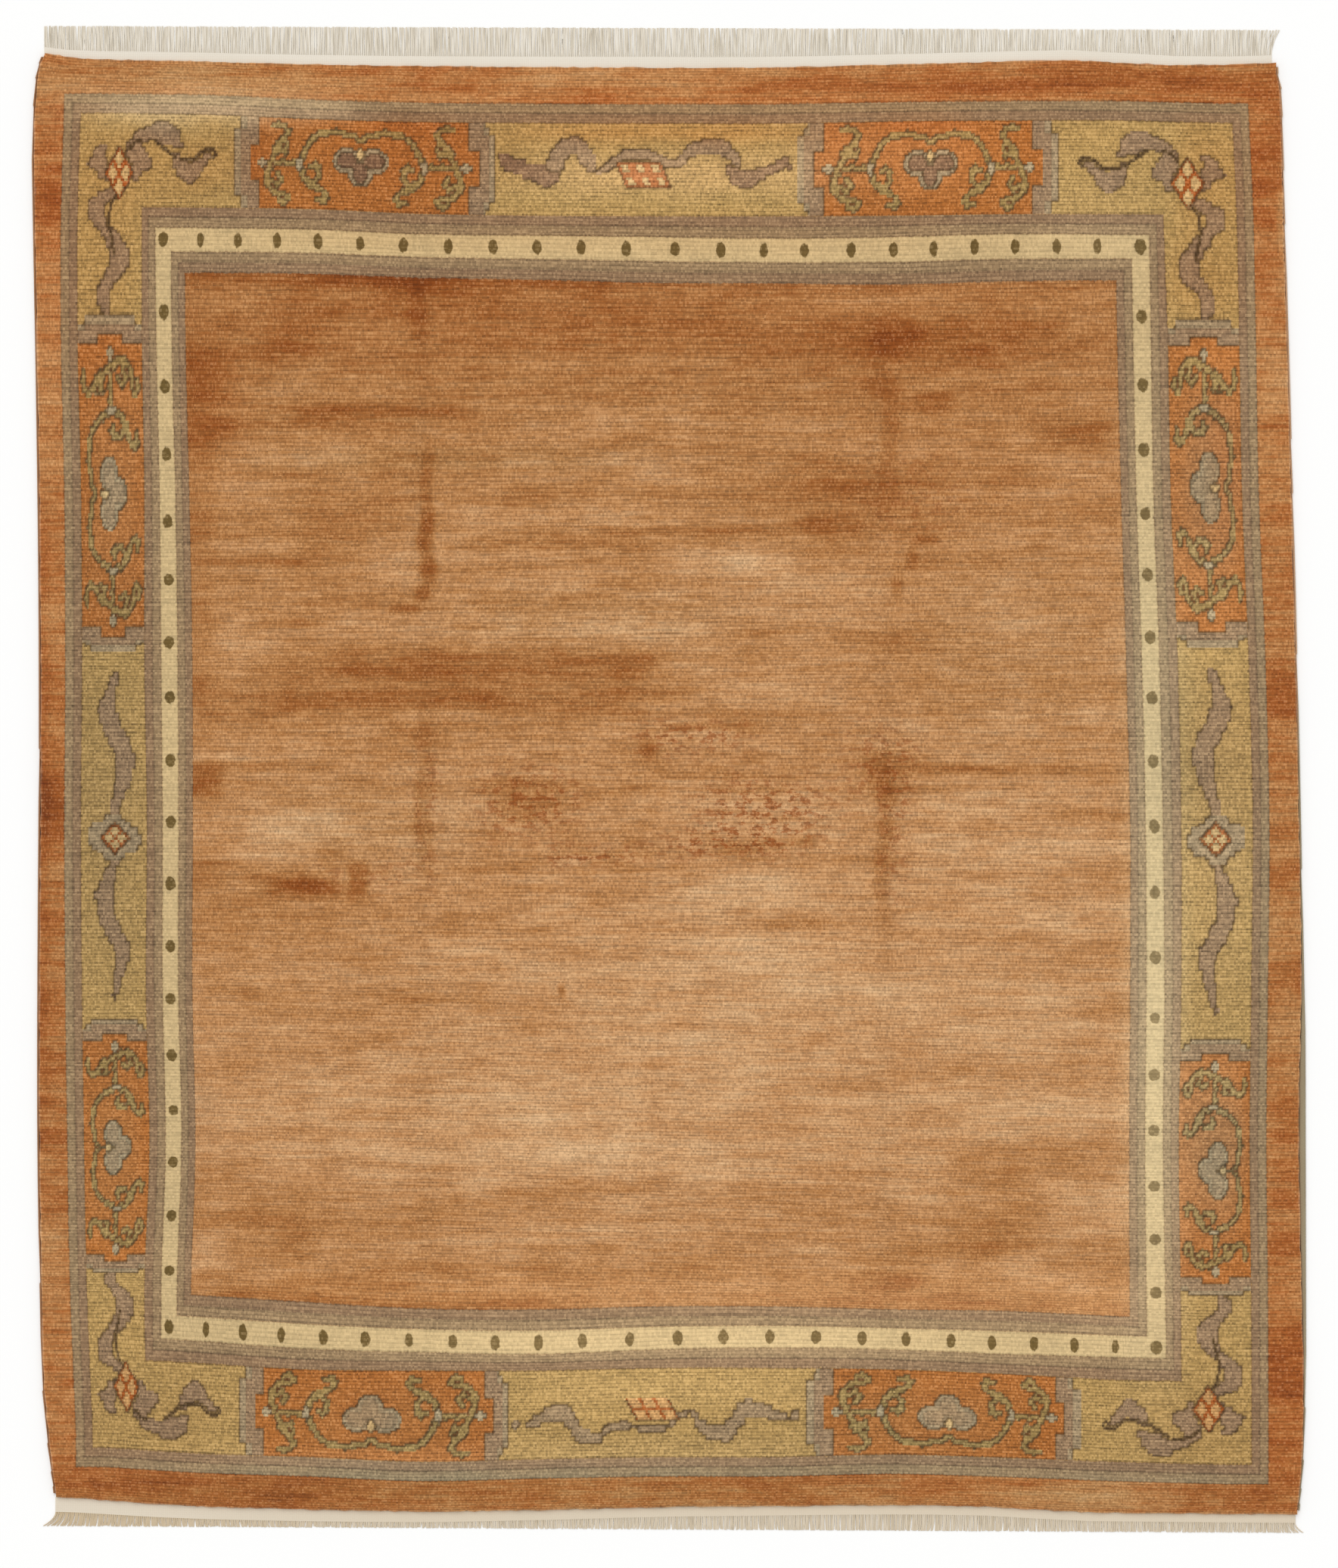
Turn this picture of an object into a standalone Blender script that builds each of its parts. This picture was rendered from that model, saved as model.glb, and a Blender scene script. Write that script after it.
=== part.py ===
"""Hand-knotted wool rug with flat-woven ends, warp fringe and overcast sides.

It lies flat on the floor at its real size. X runs across the rug, Y along it and Z up
from the floor, with the origin on the floor under the middle of the whole rug.
All sizes below are in millimetres and are turned into metres where a mesh is made.
"""

import math
import random
from collections import namedtuple

import bmesh
import bpy

METRES = 0.001

# Driving sizes of the cloth
LOOM_HALF_WIDTH = 1250.0
LOOM_HALF_LENGTH = 1430.0
PILE_HEIGHT = 11.0
PILE_EDGE_ROUND = 4.0
PILE_EDGE_STEPS = 2
GRID_STEP = 105.0
EDGE_STATIONS = (8.0, 22.0, 50.0)

# Driving sizes of the ends, the fringe and the overcast sides
WOVEN_HEIGHT = 2.5
TIP_HEIGHT = 1.8
LOCKS_PER_END = 150
LOCK_SHARE_AT_ROOT = 0.8
LOCK_SHARE_AT_TIP = 0.62
OVERCAST_HEIGHT = 6.0
OVERCAST_ROUND = 1.8
SEAM_GAP = 0.3

# A wall counts as facing outwards when its normal points this far that way
FACING = 0.7

# The two long creases where the rug was folded in three: place, half width, depth, wobble
Crease = namedtuple("Crease", "across half_width depth wobble waves phase")
CREASES = (
    Crease(across=-484.0, half_width=26.0, depth=1.6, wobble=7.0, waves=3.5, phase=0.4),
    Crease(across=428.0, half_width=26.0, depth=1.3, wobble=8.0, waves=2.5, phase=2.1),
)
CREASE_STATIONS = (-26.0, -10.0, 0.0, 10.0, 26.0)
CREASE_REACH = 90.0
CREASE_STEEPNESS = 2.5

# The uneven sides of the rug. edge is the outermost point, overcast the width of the wrapped edge
SidePoint = namedtuple("SidePoint", "along edge overcast")
LEFT_SIDE = (
    SidePoint(along=1436.0, edge=-1237.5, overcast=4.5),
    SidePoint(along=1418.0, edge=-1245.5, overcast=4.5),
    SidePoint(along=1385.0, edge=-1253.0, overcast=4.5),
    SidePoint(along=1285.0, edge=-1259.5, overcast=4.5),
    SidePoint(along=1090.0, edge=-1257.5, overcast=4.5),
    SidePoint(along=790.0, edge=-1252.0, overcast=4.5),
    SidePoint(along=400.0, edge=-1247.0, overcast=4.5),
    SidePoint(along=45.0, edge=-1246.0, overcast=4.5),
    SidePoint(along=-330.0, edge=-1248.5, overcast=4.5),
    SidePoint(along=-700.0, edge=-1249.0, overcast=4.5),
    SidePoint(along=-1000.0, edge=-1244.5, overcast=4.5),
    SidePoint(along=-1225.0, edge=-1238.5, overcast=4.5),
    SidePoint(along=-1290.0, edge=-1232.0, overcast=4.5),
    SidePoint(along=-1418.0, edge=-1216.0, overcast=4.5),
)
RIGHT_SIDE = (
    SidePoint(along=1416.0, edge=1204.0, overcast=4.5),
    SidePoint(along=1395.0, edge=1210.0, overcast=4.5),
    SidePoint(along=1340.0, edge=1213.0, overcast=4.5),
    SidePoint(along=1090.0, edge=1219.0, overcast=4.5),
    SidePoint(along=730.0, edge=1229.5, overcast=4.5),
    SidePoint(along=400.0, edge=1238.5, overcast=4.5),
    SidePoint(along=15.0, edge=1247.5, overcast=4.5),
    SidePoint(along=-390.0, edge=1255.5, overcast=6.0),
    SidePoint(along=-610.0, edge=1258.0, overcast=14.0),
    SidePoint(along=-850.0, edge=1259.5, overcast=13.0),
    SidePoint(along=-1150.0, edge=1259.5, overcast=6.0),
    SidePoint(along=-1320.0, edge=1254.5, overcast=4.5),
    SidePoint(along=-1395.0, edge=1247.5, overcast=4.5),
    SidePoint(along=-1452.0, edge=1243.0, overcast=4.5),
)

# The uneven ends. edge is where the pile stops, woven the width of the flat-woven end
EndPoint = namedtuple("EndPoint", "across edge woven")
TOP_END = (
    EndPoint(across=-1238.0, edge=1436.0, woven=12.0),
    EndPoint(across=-1187.0, edge=1427.0, woven=13.0),
    EndPoint(across=-1142.0, edge=1422.5, woven=17.0),
    EndPoint(across=-992.0, edge=1420.0, woven=18.0),
    EndPoint(across=-753.0, edge=1413.5, woven=19.0),
    EndPoint(across=-514.0, edge=1409.5, woven=21.0),
    EndPoint(across=-36.0, edge=1406.0, woven=22.0),
    EndPoint(across=203.0, edge=1406.5, woven=22.0),
    EndPoint(across=442.0, edge=1412.0, woven=21.0),
    EndPoint(across=681.0, edge=1418.5, woven=20.0),
    EndPoint(across=800.0, edge=1421.0, woven=20.0),
    EndPoint(across=920.0, edge=1414.0, woven=20.0),
    EndPoint(across=1040.0, edge=1410.5, woven=19.0),
    EndPoint(across=1204.0, edge=1416.0, woven=15.0),
)
BOTTOM_END = (
    EndPoint(across=-1216.0, edge=-1418.0, woven=24.0),
    EndPoint(across=-1172.0, edge=-1420.0, woven=24.0),
    EndPoint(across=-992.0, edge=-1432.5, woven=24.0),
    EndPoint(across=-872.0, edge=-1438.0, woven=24.0),
    EndPoint(across=-514.0, edge=-1446.0, woven=23.0),
    EndPoint(across=-275.0, edge=-1444.0, woven=23.0),
    EndPoint(across=-36.0, edge=-1438.0, woven=23.0),
    EndPoint(across=203.0, edge=-1435.5, woven=23.0),
    EndPoint(across=442.0, edge=-1434.0, woven=24.0),
    EndPoint(across=621.0, edge=-1436.5, woven=24.0),
    EndPoint(across=800.0, edge=-1447.0, woven=24.0),
    EndPoint(across=920.0, edge=-1449.0, woven=24.0),
    EndPoint(across=1243.0, edge=-1452.0, woven=24.0),
)

# How each fringe lies: its tips' line at both ends, the strip's two ends and the corner locks' flare
Fringe = namedtuple("Fringe", "name end tip_left tip_right left right flare_left flare_right bends seed")
FRINGES = (
    Fringe(name="fringe_top", end=TOP_END, tip_left=1490.0, tip_right=1482.0,
           left=-1235.0, right=1191.0, flare_left=-1.0, flare_right=18.0, bends=2, seed=11),
    Fringe(name="fringe_bottom", end=BOTTOM_END, tip_left=-1476.0, tip_right=-1489.5,
           left=-1213.0, right=1238.0, flare_left=-22.0, flare_right=9.0, bends=1, seed=12),
)
FLARE_LOCKS = 1.6
SWAY = 1.2
SWAY_LOCKS = 9.0
LEAN_CHANCE = 0.3
TIP_UNEVEN = 0.9

# Colour and roughness of each finish
WOOL_COLOUR = (0.50, 0.27, 0.12, 1.0)
COTTON_COLOUR = (0.66, 0.62, 0.53, 1.0)
OVERCAST_COLOUR = (0.33, 0.30, 0.22, 1.0)
CLOTH_ROUGHNESS = 0.95


def smooth_between(points, key, column, at):
    """Read a table's column at any place, on a smooth curve through its rows."""
    rows = sorted(points, key=lambda row: getattr(row, key))
    places = [getattr(row, key) for row in rows]
    values = [getattr(row, column) for row in rows]
    if at <= places[0]:
        return values[0]
    if at >= places[-1]:
        return values[-1]
    index = max(i for i, place in enumerate(places) if place <= at)
    span = places[index + 1] - places[index]
    t = (at - places[index]) / span
    slopes = []
    for i in (index, index + 1):
        before = max(i - 1, 0)
        after = min(i + 1, len(rows) - 1)
        slopes.append((values[after] - values[before]) / (places[after] - places[before]))
    rise = t * t * (3.0 - 2.0 * t)
    start_bend = t * (1.0 - t) ** 2 * span * slopes[0]
    end_bend = t * t * (t - 1.0) * span * slopes[1]
    return values[index] + (values[index + 1] - values[index]) * rise + start_bend + end_bend


def pile_side(table, along):
    """Where the pile stops beside the overcast edge, whose width is taken off."""
    edge = smooth_between(table, "along", "edge", along)
    overcast = smooth_between(table, "along", "overcast", along)
    return edge - math.copysign(overcast + SEAM_GAP, edge)


def crease_line(crease, along):
    """The crease wanders a little as it runs down the rug."""
    turn = along / LOOM_HALF_LENGTH * math.pi * crease.waves + crease.phase
    return crease.across + crease.wobble * math.sin(turn)


def stations(half, extra):
    """Places for the loom's grid lines: an even step, closer at both edges and at each extra place."""
    count = round(2.0 * half / GRID_STEP)
    lines = [half * (2.0 * i / count - 1.0) for i in range(count + 1)]
    lines = [line for line in lines if all(abs(line - place) > GRID_STEP / 2 for place in extra)]
    near_edges = [sign * (half - step) for step in EDGE_STATIONS for sign in (-1.0, 1.0)]
    return sorted(lines + near_edges + list(extra))


def crease_shift(across, along):
    """How far the loom's straight lines wander sideways beside the creases."""
    shift = 0.0
    for crease in CREASES:
        share = max(0.0, 1.0 - abs(across - crease.across) / CREASE_REACH)
        shift += (crease_line(crease, along) - crease.across) * share
    return shift


def cloth_point(across, along):
    """Move a place of the loom's plain rectangle to where it lies in the uneven rug."""
    u = (across + crease_shift(across, along) + LOOM_HALF_WIDTH) / (2.0 * LOOM_HALF_WIDTH)
    v = (along + LOOM_HALF_LENGTH) / (2.0 * LOOM_HALF_LENGTH)
    level = LEFT_SIDE[-1].along + v * (LEFT_SIDE[0].along - LEFT_SIDE[-1].along)
    left = pile_side(LEFT_SIDE, level)
    right = pile_side(RIGHT_SIDE, level)
    x = left + u * (right - left)
    bottom = smooth_between(BOTTOM_END, "across", "edge", x)
    top = smooth_between(TOP_END, "across", "edge", x)
    return x, bottom + v * (top - bottom)


def loom_columns():
    """The loom's lines along the rug, with a few at each crease."""
    return stations(LOOM_HALF_WIDTH, [crease.across + step for crease in CREASES for step in CREASE_STATIONS])


def loom_rows():
    """The loom's lines across the rug."""
    return stations(LOOM_HALF_LENGTH, [])


def end_outline(sign):
    """The pile's corners along its top end, sign 1, or its bottom end, sign -1."""
    return [cloth_point(across, sign * LOOM_HALF_LENGTH) for across in loom_columns()]


def side_outline(sign):
    """The pile's corners along its right side, sign 1, or its left side, sign -1."""
    return [cloth_point(sign * LOOM_HALF_WIDTH, along) for along in loom_rows()]


def straight_between(points, at):
    """Read the second value at the first one on straight lines between points, carried on past both ends."""
    index = 0
    while index < len(points) - 2 and points[index + 1][0] < at:
        index += 1
    start, end = points[index], points[index + 1]
    return start[1] + (end[1] - start[1]) * (at - start[0]) / (end[0] - start[0])


def new_object(bm, name, colour):
    """Turn a finished bmesh in millimetres into a named object with its own material."""
    bmesh.ops.recalc_face_normals(bm, faces=bm.faces)
    bmesh.ops.scale(bm, vec=(METRES, METRES, METRES), verts=bm.verts)
    mesh = bpy.data.meshes.new(name)
    bm.to_mesh(mesh)
    bm.free()
    material = bpy.data.materials.new(name)
    material.use_nodes = True
    shader = material.node_tree.nodes["Principled BSDF"]
    shader.inputs["Base Color"].default_value = colour
    shader.inputs["Roughness"].default_value = CLOTH_ROUGHNESS
    mesh.materials.append(material)
    return bpy.data.objects.new(name, mesh)


def flat_grid(columns, rows):
    """A flat sheet of cells: an even grid whose lines are moved to the given columns and rows."""
    bm = bmesh.new()
    bmesh.ops.create_grid(bm, x_segments=len(columns) - 1, y_segments=len(rows) - 1, size=1.0)
    for vert in bm.verts:
        column = round((vert.co.x + 1.0) / 2.0 * (len(columns) - 1))
        row = round((vert.co.y + 1.0) / 2.0 * (len(rows) - 1))
        vert.co.x = columns[column]
        vert.co.y = rows[row]
    return bm


def thicken(bm, height):
    """Raise a flat sheet into a closed slab that stands on the floor, and return its top corners."""
    raised = bmesh.ops.extrude_face_region(bm, geom=bm.faces[:])
    top = [item for item in raised["geom"] if isinstance(item, bmesh.types.BMVert)]
    bmesh.ops.translate(bm, vec=(0.0, 0.0, height), verts=top)
    return top


def make_pile_cloth():
    """The knotted cloth: one slab with a rounded pile edge, uneven outline and creases."""
    bm = flat_grid(loom_columns(), loom_rows())
    for vert in bm.verts:
        vert.co.x, vert.co.y = cloth_point(vert.co.x, vert.co.y)
    top = thicken(bm, PILE_HEIGHT)
    for vert in top:
        for crease in CREASES:
            centre = cloth_point(crease.across, vert.co.y)[0]
            away = abs(vert.co.x - centre) / crease.half_width
            vert.co.z -= crease.depth * math.exp(-CREASE_STEEPNESS * away * away)
    bottom = [face for face in bm.faces if all(vert.co.z == 0.0 for vert in face.verts)]
    bmesh.ops.dissolve_faces(bm, faces=bottom)
    bmesh.ops.recalc_face_normals(bm, faces=bm.faces)
    rim = [edge for edge in bm.edges if is_top_rim(edge)]
    bmesh.ops.bevel(bm, geom=rim, offset=PILE_EDGE_ROUND, segments=PILE_EDGE_STEPS, profile=0.5,
                    affect="EDGES", material=-1)
    return new_object(bm, "pile_cloth", WOOL_COLOUR)


def is_top_rim(edge):
    """True for an edge between the top and a side wall of a slab."""
    raised = all(vert.co.z > PILE_HEIGHT / 2.0 for vert in edge.verts)
    walls = [face for face in edge.link_faces if abs(face.normal.z) < FACING]
    return raised and len(walls) == 1


def fringe_columns(fringe):
    """Column places along a woven end: a lock's root and the gap beside it, by turns."""
    pitch = (fringe.right - fringe.left) / LOCKS_PER_END
    margin = pitch * (1.0 - LOCK_SHARE_AT_ROOT) / 2.0
    columns = [fringe.left]
    for index in range(LOCKS_PER_END):
        start = fringe.left + index * pitch
        columns += [start + margin, start + pitch - margin]
    columns.append(fringe.right)
    return columns


def lock_lean(fringe, index, random_source):
    """How far a lock's tip leans sideways: a slow sway, a little chance and the corner's flare."""
    lean = SWAY * math.sin(index / SWAY_LOCKS * 2.0 * math.pi + fringe.seed)
    lean += random_source.uniform(-LEAN_CHANCE, LEAN_CHANCE)
    lean += fringe.flare_left * math.exp(-index / FLARE_LOCKS)
    lean += fringe.flare_right * math.exp(-(LOCKS_PER_END - 1 - index) / FLARE_LOCKS)
    return lean


def make_fringe(fringe):
    """A flat-woven end with its fringe locks, each pulled out of the strip's outer wall."""
    outward = math.copysign(1.0, fringe.tip_left)
    outline = end_outline(outward)
    bm = flat_grid(fringe_columns(fringe), (0.0, 1.0))
    for vert in bm.verts:
        edge = straight_between(outline, vert.co.x) + outward * SEAM_GAP
        woven = smooth_between(fringe.end, "across", "woven", vert.co.x)
        vert.co.y = edge + outward * woven * vert.co.y
    thicken(bm, WOVEN_HEIGHT)
    bmesh.ops.recalc_face_normals(bm, faces=bm.faces)
    pitch = (fringe.right - fringe.left) / LOCKS_PER_END
    walls = [face for face in bm.faces if face.normal.y * outward > FACING]
    walls.sort(key=lambda face: face.calc_center_median().x)
    roots = walls[1::2]
    chance = random.Random(fringe.seed)
    for index, root in enumerate(roots):
        centre = root.calc_center_median()
        share = (centre.x - fringe.left) / (fringe.right - fringe.left)
        tip = fringe.tip_left + share * (fringe.tip_right - fringe.tip_left)
        tip -= outward * chance.uniform(0.0, TIP_UNEVEN)
        pull_lock(bm, root, centre, tip, lock_lean(fringe, index, chance), pitch, fringe.bends)
    return new_object(bm, fringe.name, COTTON_COLOUR)


def pull_lock(bm, root, centre, tip, lean, pitch, bends):
    """Extrude one lock from its root in steps, leaning and thinning towards its tip."""
    face = root
    for step in range(1, bends + 1):
        t = step / bends
        face = bmesh.ops.extrude_discrete_faces(bm, faces=[face])["faces"][0]
        middle = face.calc_center_median()
        width = pitch * (LOCK_SHARE_AT_ROOT + (LOCK_SHARE_AT_TIP - LOCK_SHARE_AT_ROOT) * t)
        height = WOVEN_HEIGHT + (TIP_HEIGHT - WOVEN_HEIGHT) * t
        for vert in face.verts:
            side = math.copysign(0.5, vert.co.x - middle.x)
            raised = vert.co.z > middle.z
            vert.co.x = centre.x + lean * t * t + side * width
            vert.co.y = centre.y + (tip - centre.y) * t
            vert.co.z = height if raised else 0.0


def make_overcast(name, table):
    """A wrapped side edge: a low rounded cord of changing width beside the pile."""
    outward = math.copysign(1.0, table[0].edge)
    inner = [(along, across + outward * SEAM_GAP) for across, along in side_outline(outward)]
    bm = flat_grid((0.0, 1.0), [along for along, across in inner[1:-1]])
    for vert in bm.verts:
        across = straight_between(inner, vert.co.y)
        overcast = smooth_between(table, "along", "overcast", vert.co.y)
        vert.co.x = across + outward * overcast * vert.co.x
    thicken(bm, OVERCAST_HEIGHT)
    bmesh.ops.recalc_face_normals(bm, faces=bm.faces)
    walls = [face for face in bm.faces if face.normal.x * outward > FACING]
    long_edges = {edge for face in walls for edge in face.edges
                  if abs(edge.verts[0].co.z - edge.verts[1].co.z) < 0.01}
    bmesh.ops.bevel(bm, geom=list(long_edges), offset=OVERCAST_ROUND, segments=1, profile=0.5,
                    affect="EDGES", material=-1)
    return new_object(bm, name, OVERCAST_COLOUR)


def main():
    """Clear the scene, make every piece and put them in one collection."""
    for old in list(bpy.data.objects):
        bpy.data.objects.remove(old, do_unlink=True)
    rug = bpy.data.collections.new("nepalese_rug")
    bpy.context.scene.collection.children.link(rug)
    rug.objects.link(make_pile_cloth())
    for fringe in FRINGES:
        rug.objects.link(make_fringe(fringe))
    rug.objects.link(make_overcast("overcast_left", LEFT_SIDE))
    rug.objects.link(make_overcast("overcast_right", RIGHT_SIDE))


main()
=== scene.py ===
# %% [markdown]
# # Dressing a hand-knotted Nepalese rug
# The frame is a flat cloth with a fringe at each end and a wrapped edge along each side. This lesson
# gives it its looks: a knotted wool pile with stripes, panels and ornaments, flat-woven cotton ends, a
# fine fringe and overcast sides. Everything is in metres and lies where the frame says. X runs across the
# rug, Y along it.

# %% Load the frame and keep its box
import math
import random

import bmesh
import bpy
import numpy as np
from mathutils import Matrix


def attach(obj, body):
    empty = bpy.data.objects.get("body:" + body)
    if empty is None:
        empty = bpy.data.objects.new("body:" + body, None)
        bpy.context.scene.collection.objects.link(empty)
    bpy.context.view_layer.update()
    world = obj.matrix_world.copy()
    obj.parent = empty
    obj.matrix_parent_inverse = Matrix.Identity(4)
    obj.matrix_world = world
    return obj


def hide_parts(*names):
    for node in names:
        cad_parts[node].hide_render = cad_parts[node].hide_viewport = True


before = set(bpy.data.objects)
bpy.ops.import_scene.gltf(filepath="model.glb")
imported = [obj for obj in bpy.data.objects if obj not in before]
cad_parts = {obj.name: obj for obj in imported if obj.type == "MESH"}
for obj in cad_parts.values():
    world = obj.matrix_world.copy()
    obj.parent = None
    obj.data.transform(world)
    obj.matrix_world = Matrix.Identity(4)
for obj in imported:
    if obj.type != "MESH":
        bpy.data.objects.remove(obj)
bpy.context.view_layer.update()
MM = 0.001

# %% [markdown]
# ## The uneven outline
# No hand-knotted rug is a true rectangle. The frame's cloth already has the outline, so its lowest points
# are read, put in order round the middle, and cut at the four corners into a left, right, top and bottom
# edge. Drawing the outline again by hand would be another way, but then the two could drift apart.


# %% Read the outline of the pile from the frame
def floor_points(node):
    """The node's points on the floor, each one once, as rows of x and y."""
    points = np.array([vert.co[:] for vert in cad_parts[node].data.vertices])
    low = points[points[:, 2] < 1e-5][:, :2]
    return np.unique(low.round(6), axis=0)


CORNERS = {"bl": (-1, -1), "br": (1, -1), "tr": (1, 1), "tl": (-1, 1)}
SIDES = {"bottom": ("bl", "br"), "right": ("br", "tr"), "top": ("tr", "tl"), "left": ("tl", "bl")}


def four_edges(points):
    """Cuts a ring of points at its corners: left and right edges by y, top and bottom edges by x."""
    ring = points[np.argsort(np.arctan2(points[:, 1], points[:, 0]))]
    corner = {name: int(np.argmax(ring @ np.array(way))) for name, way in CORNERS.items()}
    edges = {}
    for name, (start, end) in SIDES.items():
        count = (corner[end] - corner[start]) % len(ring)
        edge = ring[(corner[start] + np.arange(count + 1)) % len(ring)]
        by = 1 if name in ("left", "right") else 0
        edges[name] = edge[np.argsort(edge[:, by])]
    return edges


EDGES = four_edges(floor_points("pile_cloth"))
print("outline points a side:", {name: len(edge) for name, edge in EDGES.items()})


def edge_x(name, y):
    """x of the left or right edge at y."""
    return np.interp(y, EDGES[name][:, 1], EDGES[name][:, 0])


def edge_y(name, x):
    """y of the top or bottom edge at x."""
    return np.interp(x, EDGES[name][:, 0], EDGES[name][:, 1])


# %% [markdown]
# ## The loom plan
# A weaver works from a plan in knots and rows, and the finished cloth pulls the plan out of true. So the
# pattern is drawn on a plan of 696 knots by 576 rows, counted from the top left, and a table of measured
# lines says where the plan's stripes lie on the real rug. The dots in the cream stripe are 24 knots apart
# on the plan, which makes them the ruler between the stripes. Sizes in the tables are millimetres from
# the middle.

# %% Size of the plan and the measured lines
KNOTS = 696
ROWS = 576
BAND, PANEL_OUT, PANEL_IN, CREAM_OUT, CREAM_IN, FIELD = 16, 24, 60, 68, 76, 84
DOT_STEP = 24
CELL = 4
GUARD_ACROSS = 33
GUARD_ALONG = 38
CREAM_SHARE = 0.53

# Columns: along, band to guard, panel to inner guard, guard to cream, guard to field
LEFT_LINES = np.array([
    (1327, -1194, -1041, -1015, -955),
    (1147, -1200, -1041, -1015, -955),
    (893, -1201, -1041, -1013, -955),
    (565, -1194, -1036, -1006, -947),
    (236, -1192, -1036, -1003, -941),
    (-93, -1194, -1031, -1000, -940),
    (-421, -1192, -1033, -1000, -941),
    (-720, -1188, -1026, -994, -935),
    (-1019, -1182, -1036, -1003, -944),
    (-1288, -1171, -1030, -1000, -941),
])
RIGHT_LINES = np.array([
    (1327, 1143, 974, 945, 878),
    (1147, 1152, 975, 947, 880),
    (893, 1158, 984, 951, 884),
    (565, 1164, 990, 956, 892),
    (236, 1177, 1004, 968, 902),
    (-93, 1185, 1011, 975, 910),
    (-421, 1182, 1011, 978, 910),
    (-720, 1179, 1006, 975, 908),
    (-1019, 1182, 1010, 980, 909),
    (-1288, 1183, 1013, 983, 911),
])

# Columns: across, band to guard, panel to inner guard, guard to cream, guard to field
TOP_LINES = np.array([
    (-1112, 1354, 1130, 1091, 1001),
    (-918, 1351, 1129, 1089, 1000),
    (-708, 1342, 1126, 1086, 998),
    (-499, 1336, 1117, 1077, 991),
    (-260, 1334, 1113, 1074, 986),
    (-21, 1333, 1112, 1071, 980),
    (203, 1333, 1112, 1068, 979),
    (442, 1337, 1113, 1071, 977),
    (666, 1339, 1116, 1077, 983),
    (875, 1339, 1116, 1076, 985),
    (1099, 1334, 1115, 1074, 985),
])
BOTTOM_LINES = np.array([
    (-1112, -1357, -1143, -1097, -1010),
    (-918, -1369, -1153, -1110, -1019),
    (-708, -1376, -1165, -1125, -1032),
    (-499, -1385, -1167, -1131, -1044),
    (-260, -1380, -1167, -1135, -1046),
    (-21, -1376, -1162, -1126, -1040),
    (203, -1376, -1162, -1122, -1040),
    (442, -1371, -1165, -1126, -1046),
    (666, -1377, -1174, -1135, -1049),
    (875, -1385, -1185, -1141, -1059),
    (1099, -1391, -1189, -1147, -1067),
])

# The dots' places, from the left corner to the right one and from the top corner to the bottom one
TOP_DOTS = (-998, -926, -852, -774, -693, -610, -525, -436, -348, -261, -174, -85,
            12, 102, 187, 266, 360, 443, 522, 603, 683, 765, 846, 927)
BOTTOM_DOTS = (-986, -915, -842, -766, -683, -600, -514, -427, -343, -258, -171, -78,
               17, 107, 199, 290, 381, 468, 557, 637, 720, 800, 882, 962)
LEFT_DOTS = (1063, 923, 775, 642, 509, 394, 270, 163, 37,
             -84, -205, -330, -432, -544, -652, -754, -861, -970, -1079)
RIGHT_DOTS = (1050, 913, 778, 651, 524, 405, 280, 161, 37,
              -93, -223, -352, -471, -584, -693, -803, -908, -1014, -1118)

OUTER_MARKS = [0, BAND, PANEL_OUT, PANEL_IN, CREAM_OUT, CREAM_IN, FIELD]
FIRST_DOT = (CREAM_OUT + CREAM_IN) // 2


def plan_marks(length, dots):
    """The plan's lines from one edge to the other: stripes, the dots between them, and stripes again."""
    inner = [FIRST_DOT + DOT_STEP * index for index in range(1, dots - 1)]
    return np.array(OUTER_MARKS + inner + [length - mark for mark in reversed(OUTER_MARKS)], float)


KNOT_MARKS = plan_marks(KNOTS, len(TOP_DOTS))
ROW_MARKS = plan_marks(ROWS, len(LEFT_DOTS))
print("lines measured across and along:", len(KNOT_MARKS), len(ROW_MARKS))


# %% From the plan to the floor
def soft_line(at, table, column):
    """Reads one column of a table of measured lines on a soft curve."""
    rows = table[np.argsort(table[:, 0])]
    places = rows[:, 0] * MM
    values = rows[:, column] * MM
    slope = np.gradient(values, places)
    index = np.clip(np.searchsorted(places, at) - 1, 0, len(places) - 2)
    span = places[index + 1] - places[index]
    t = np.clip((at - places[index]) / span, 0.0, 1.0)
    start = (2 * t ** 3 - 3 * t ** 2 + 1) * values[index] + (t ** 3 - 2 * t ** 2 + t) * span * slope[index]
    end = (3 * t ** 2 - 2 * t ** 3) * values[index + 1] + (t ** 3 - t ** 2) * span * slope[index + 1]
    return start + end


def stripe_lines(outline, at, table, guard):
    """The seven lines from an edge to the field at each place, outermost first."""
    band, panel, cream, field = (soft_line(at, table, column) for column in (1, 2, 3, 4))
    inward = np.sign(field - band)
    inner_guard = cream + CREAM_SHARE * (field - cream)
    return [outline, band, band + inward * guard * MM, panel, cream, inner_guard, field]


def dot_lines(share, start, end):
    """Lines through the dots of two facing stripes, for the share of the way from one to the other."""
    pairs = zip(start[1:-1], end[1:-1])
    return [(first + share * (last - first)) * MM for first, last in pairs]


def across_lines(y):
    """x of each measured line across the rug, at every y."""
    left = stripe_lines(edge_x("left", y), y, LEFT_LINES, GUARD_ACROSS)
    right = stripe_lines(edge_x("right", y), y, RIGHT_LINES, GUARD_ACROSS)
    share = np.clip((LEFT_DOTS[0] * MM - y) / ((LEFT_DOTS[0] - LEFT_DOTS[-1]) * MM), 0, 1)
    return np.array(left + dot_lines(share, TOP_DOTS, BOTTOM_DOTS) + right[::-1])


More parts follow.
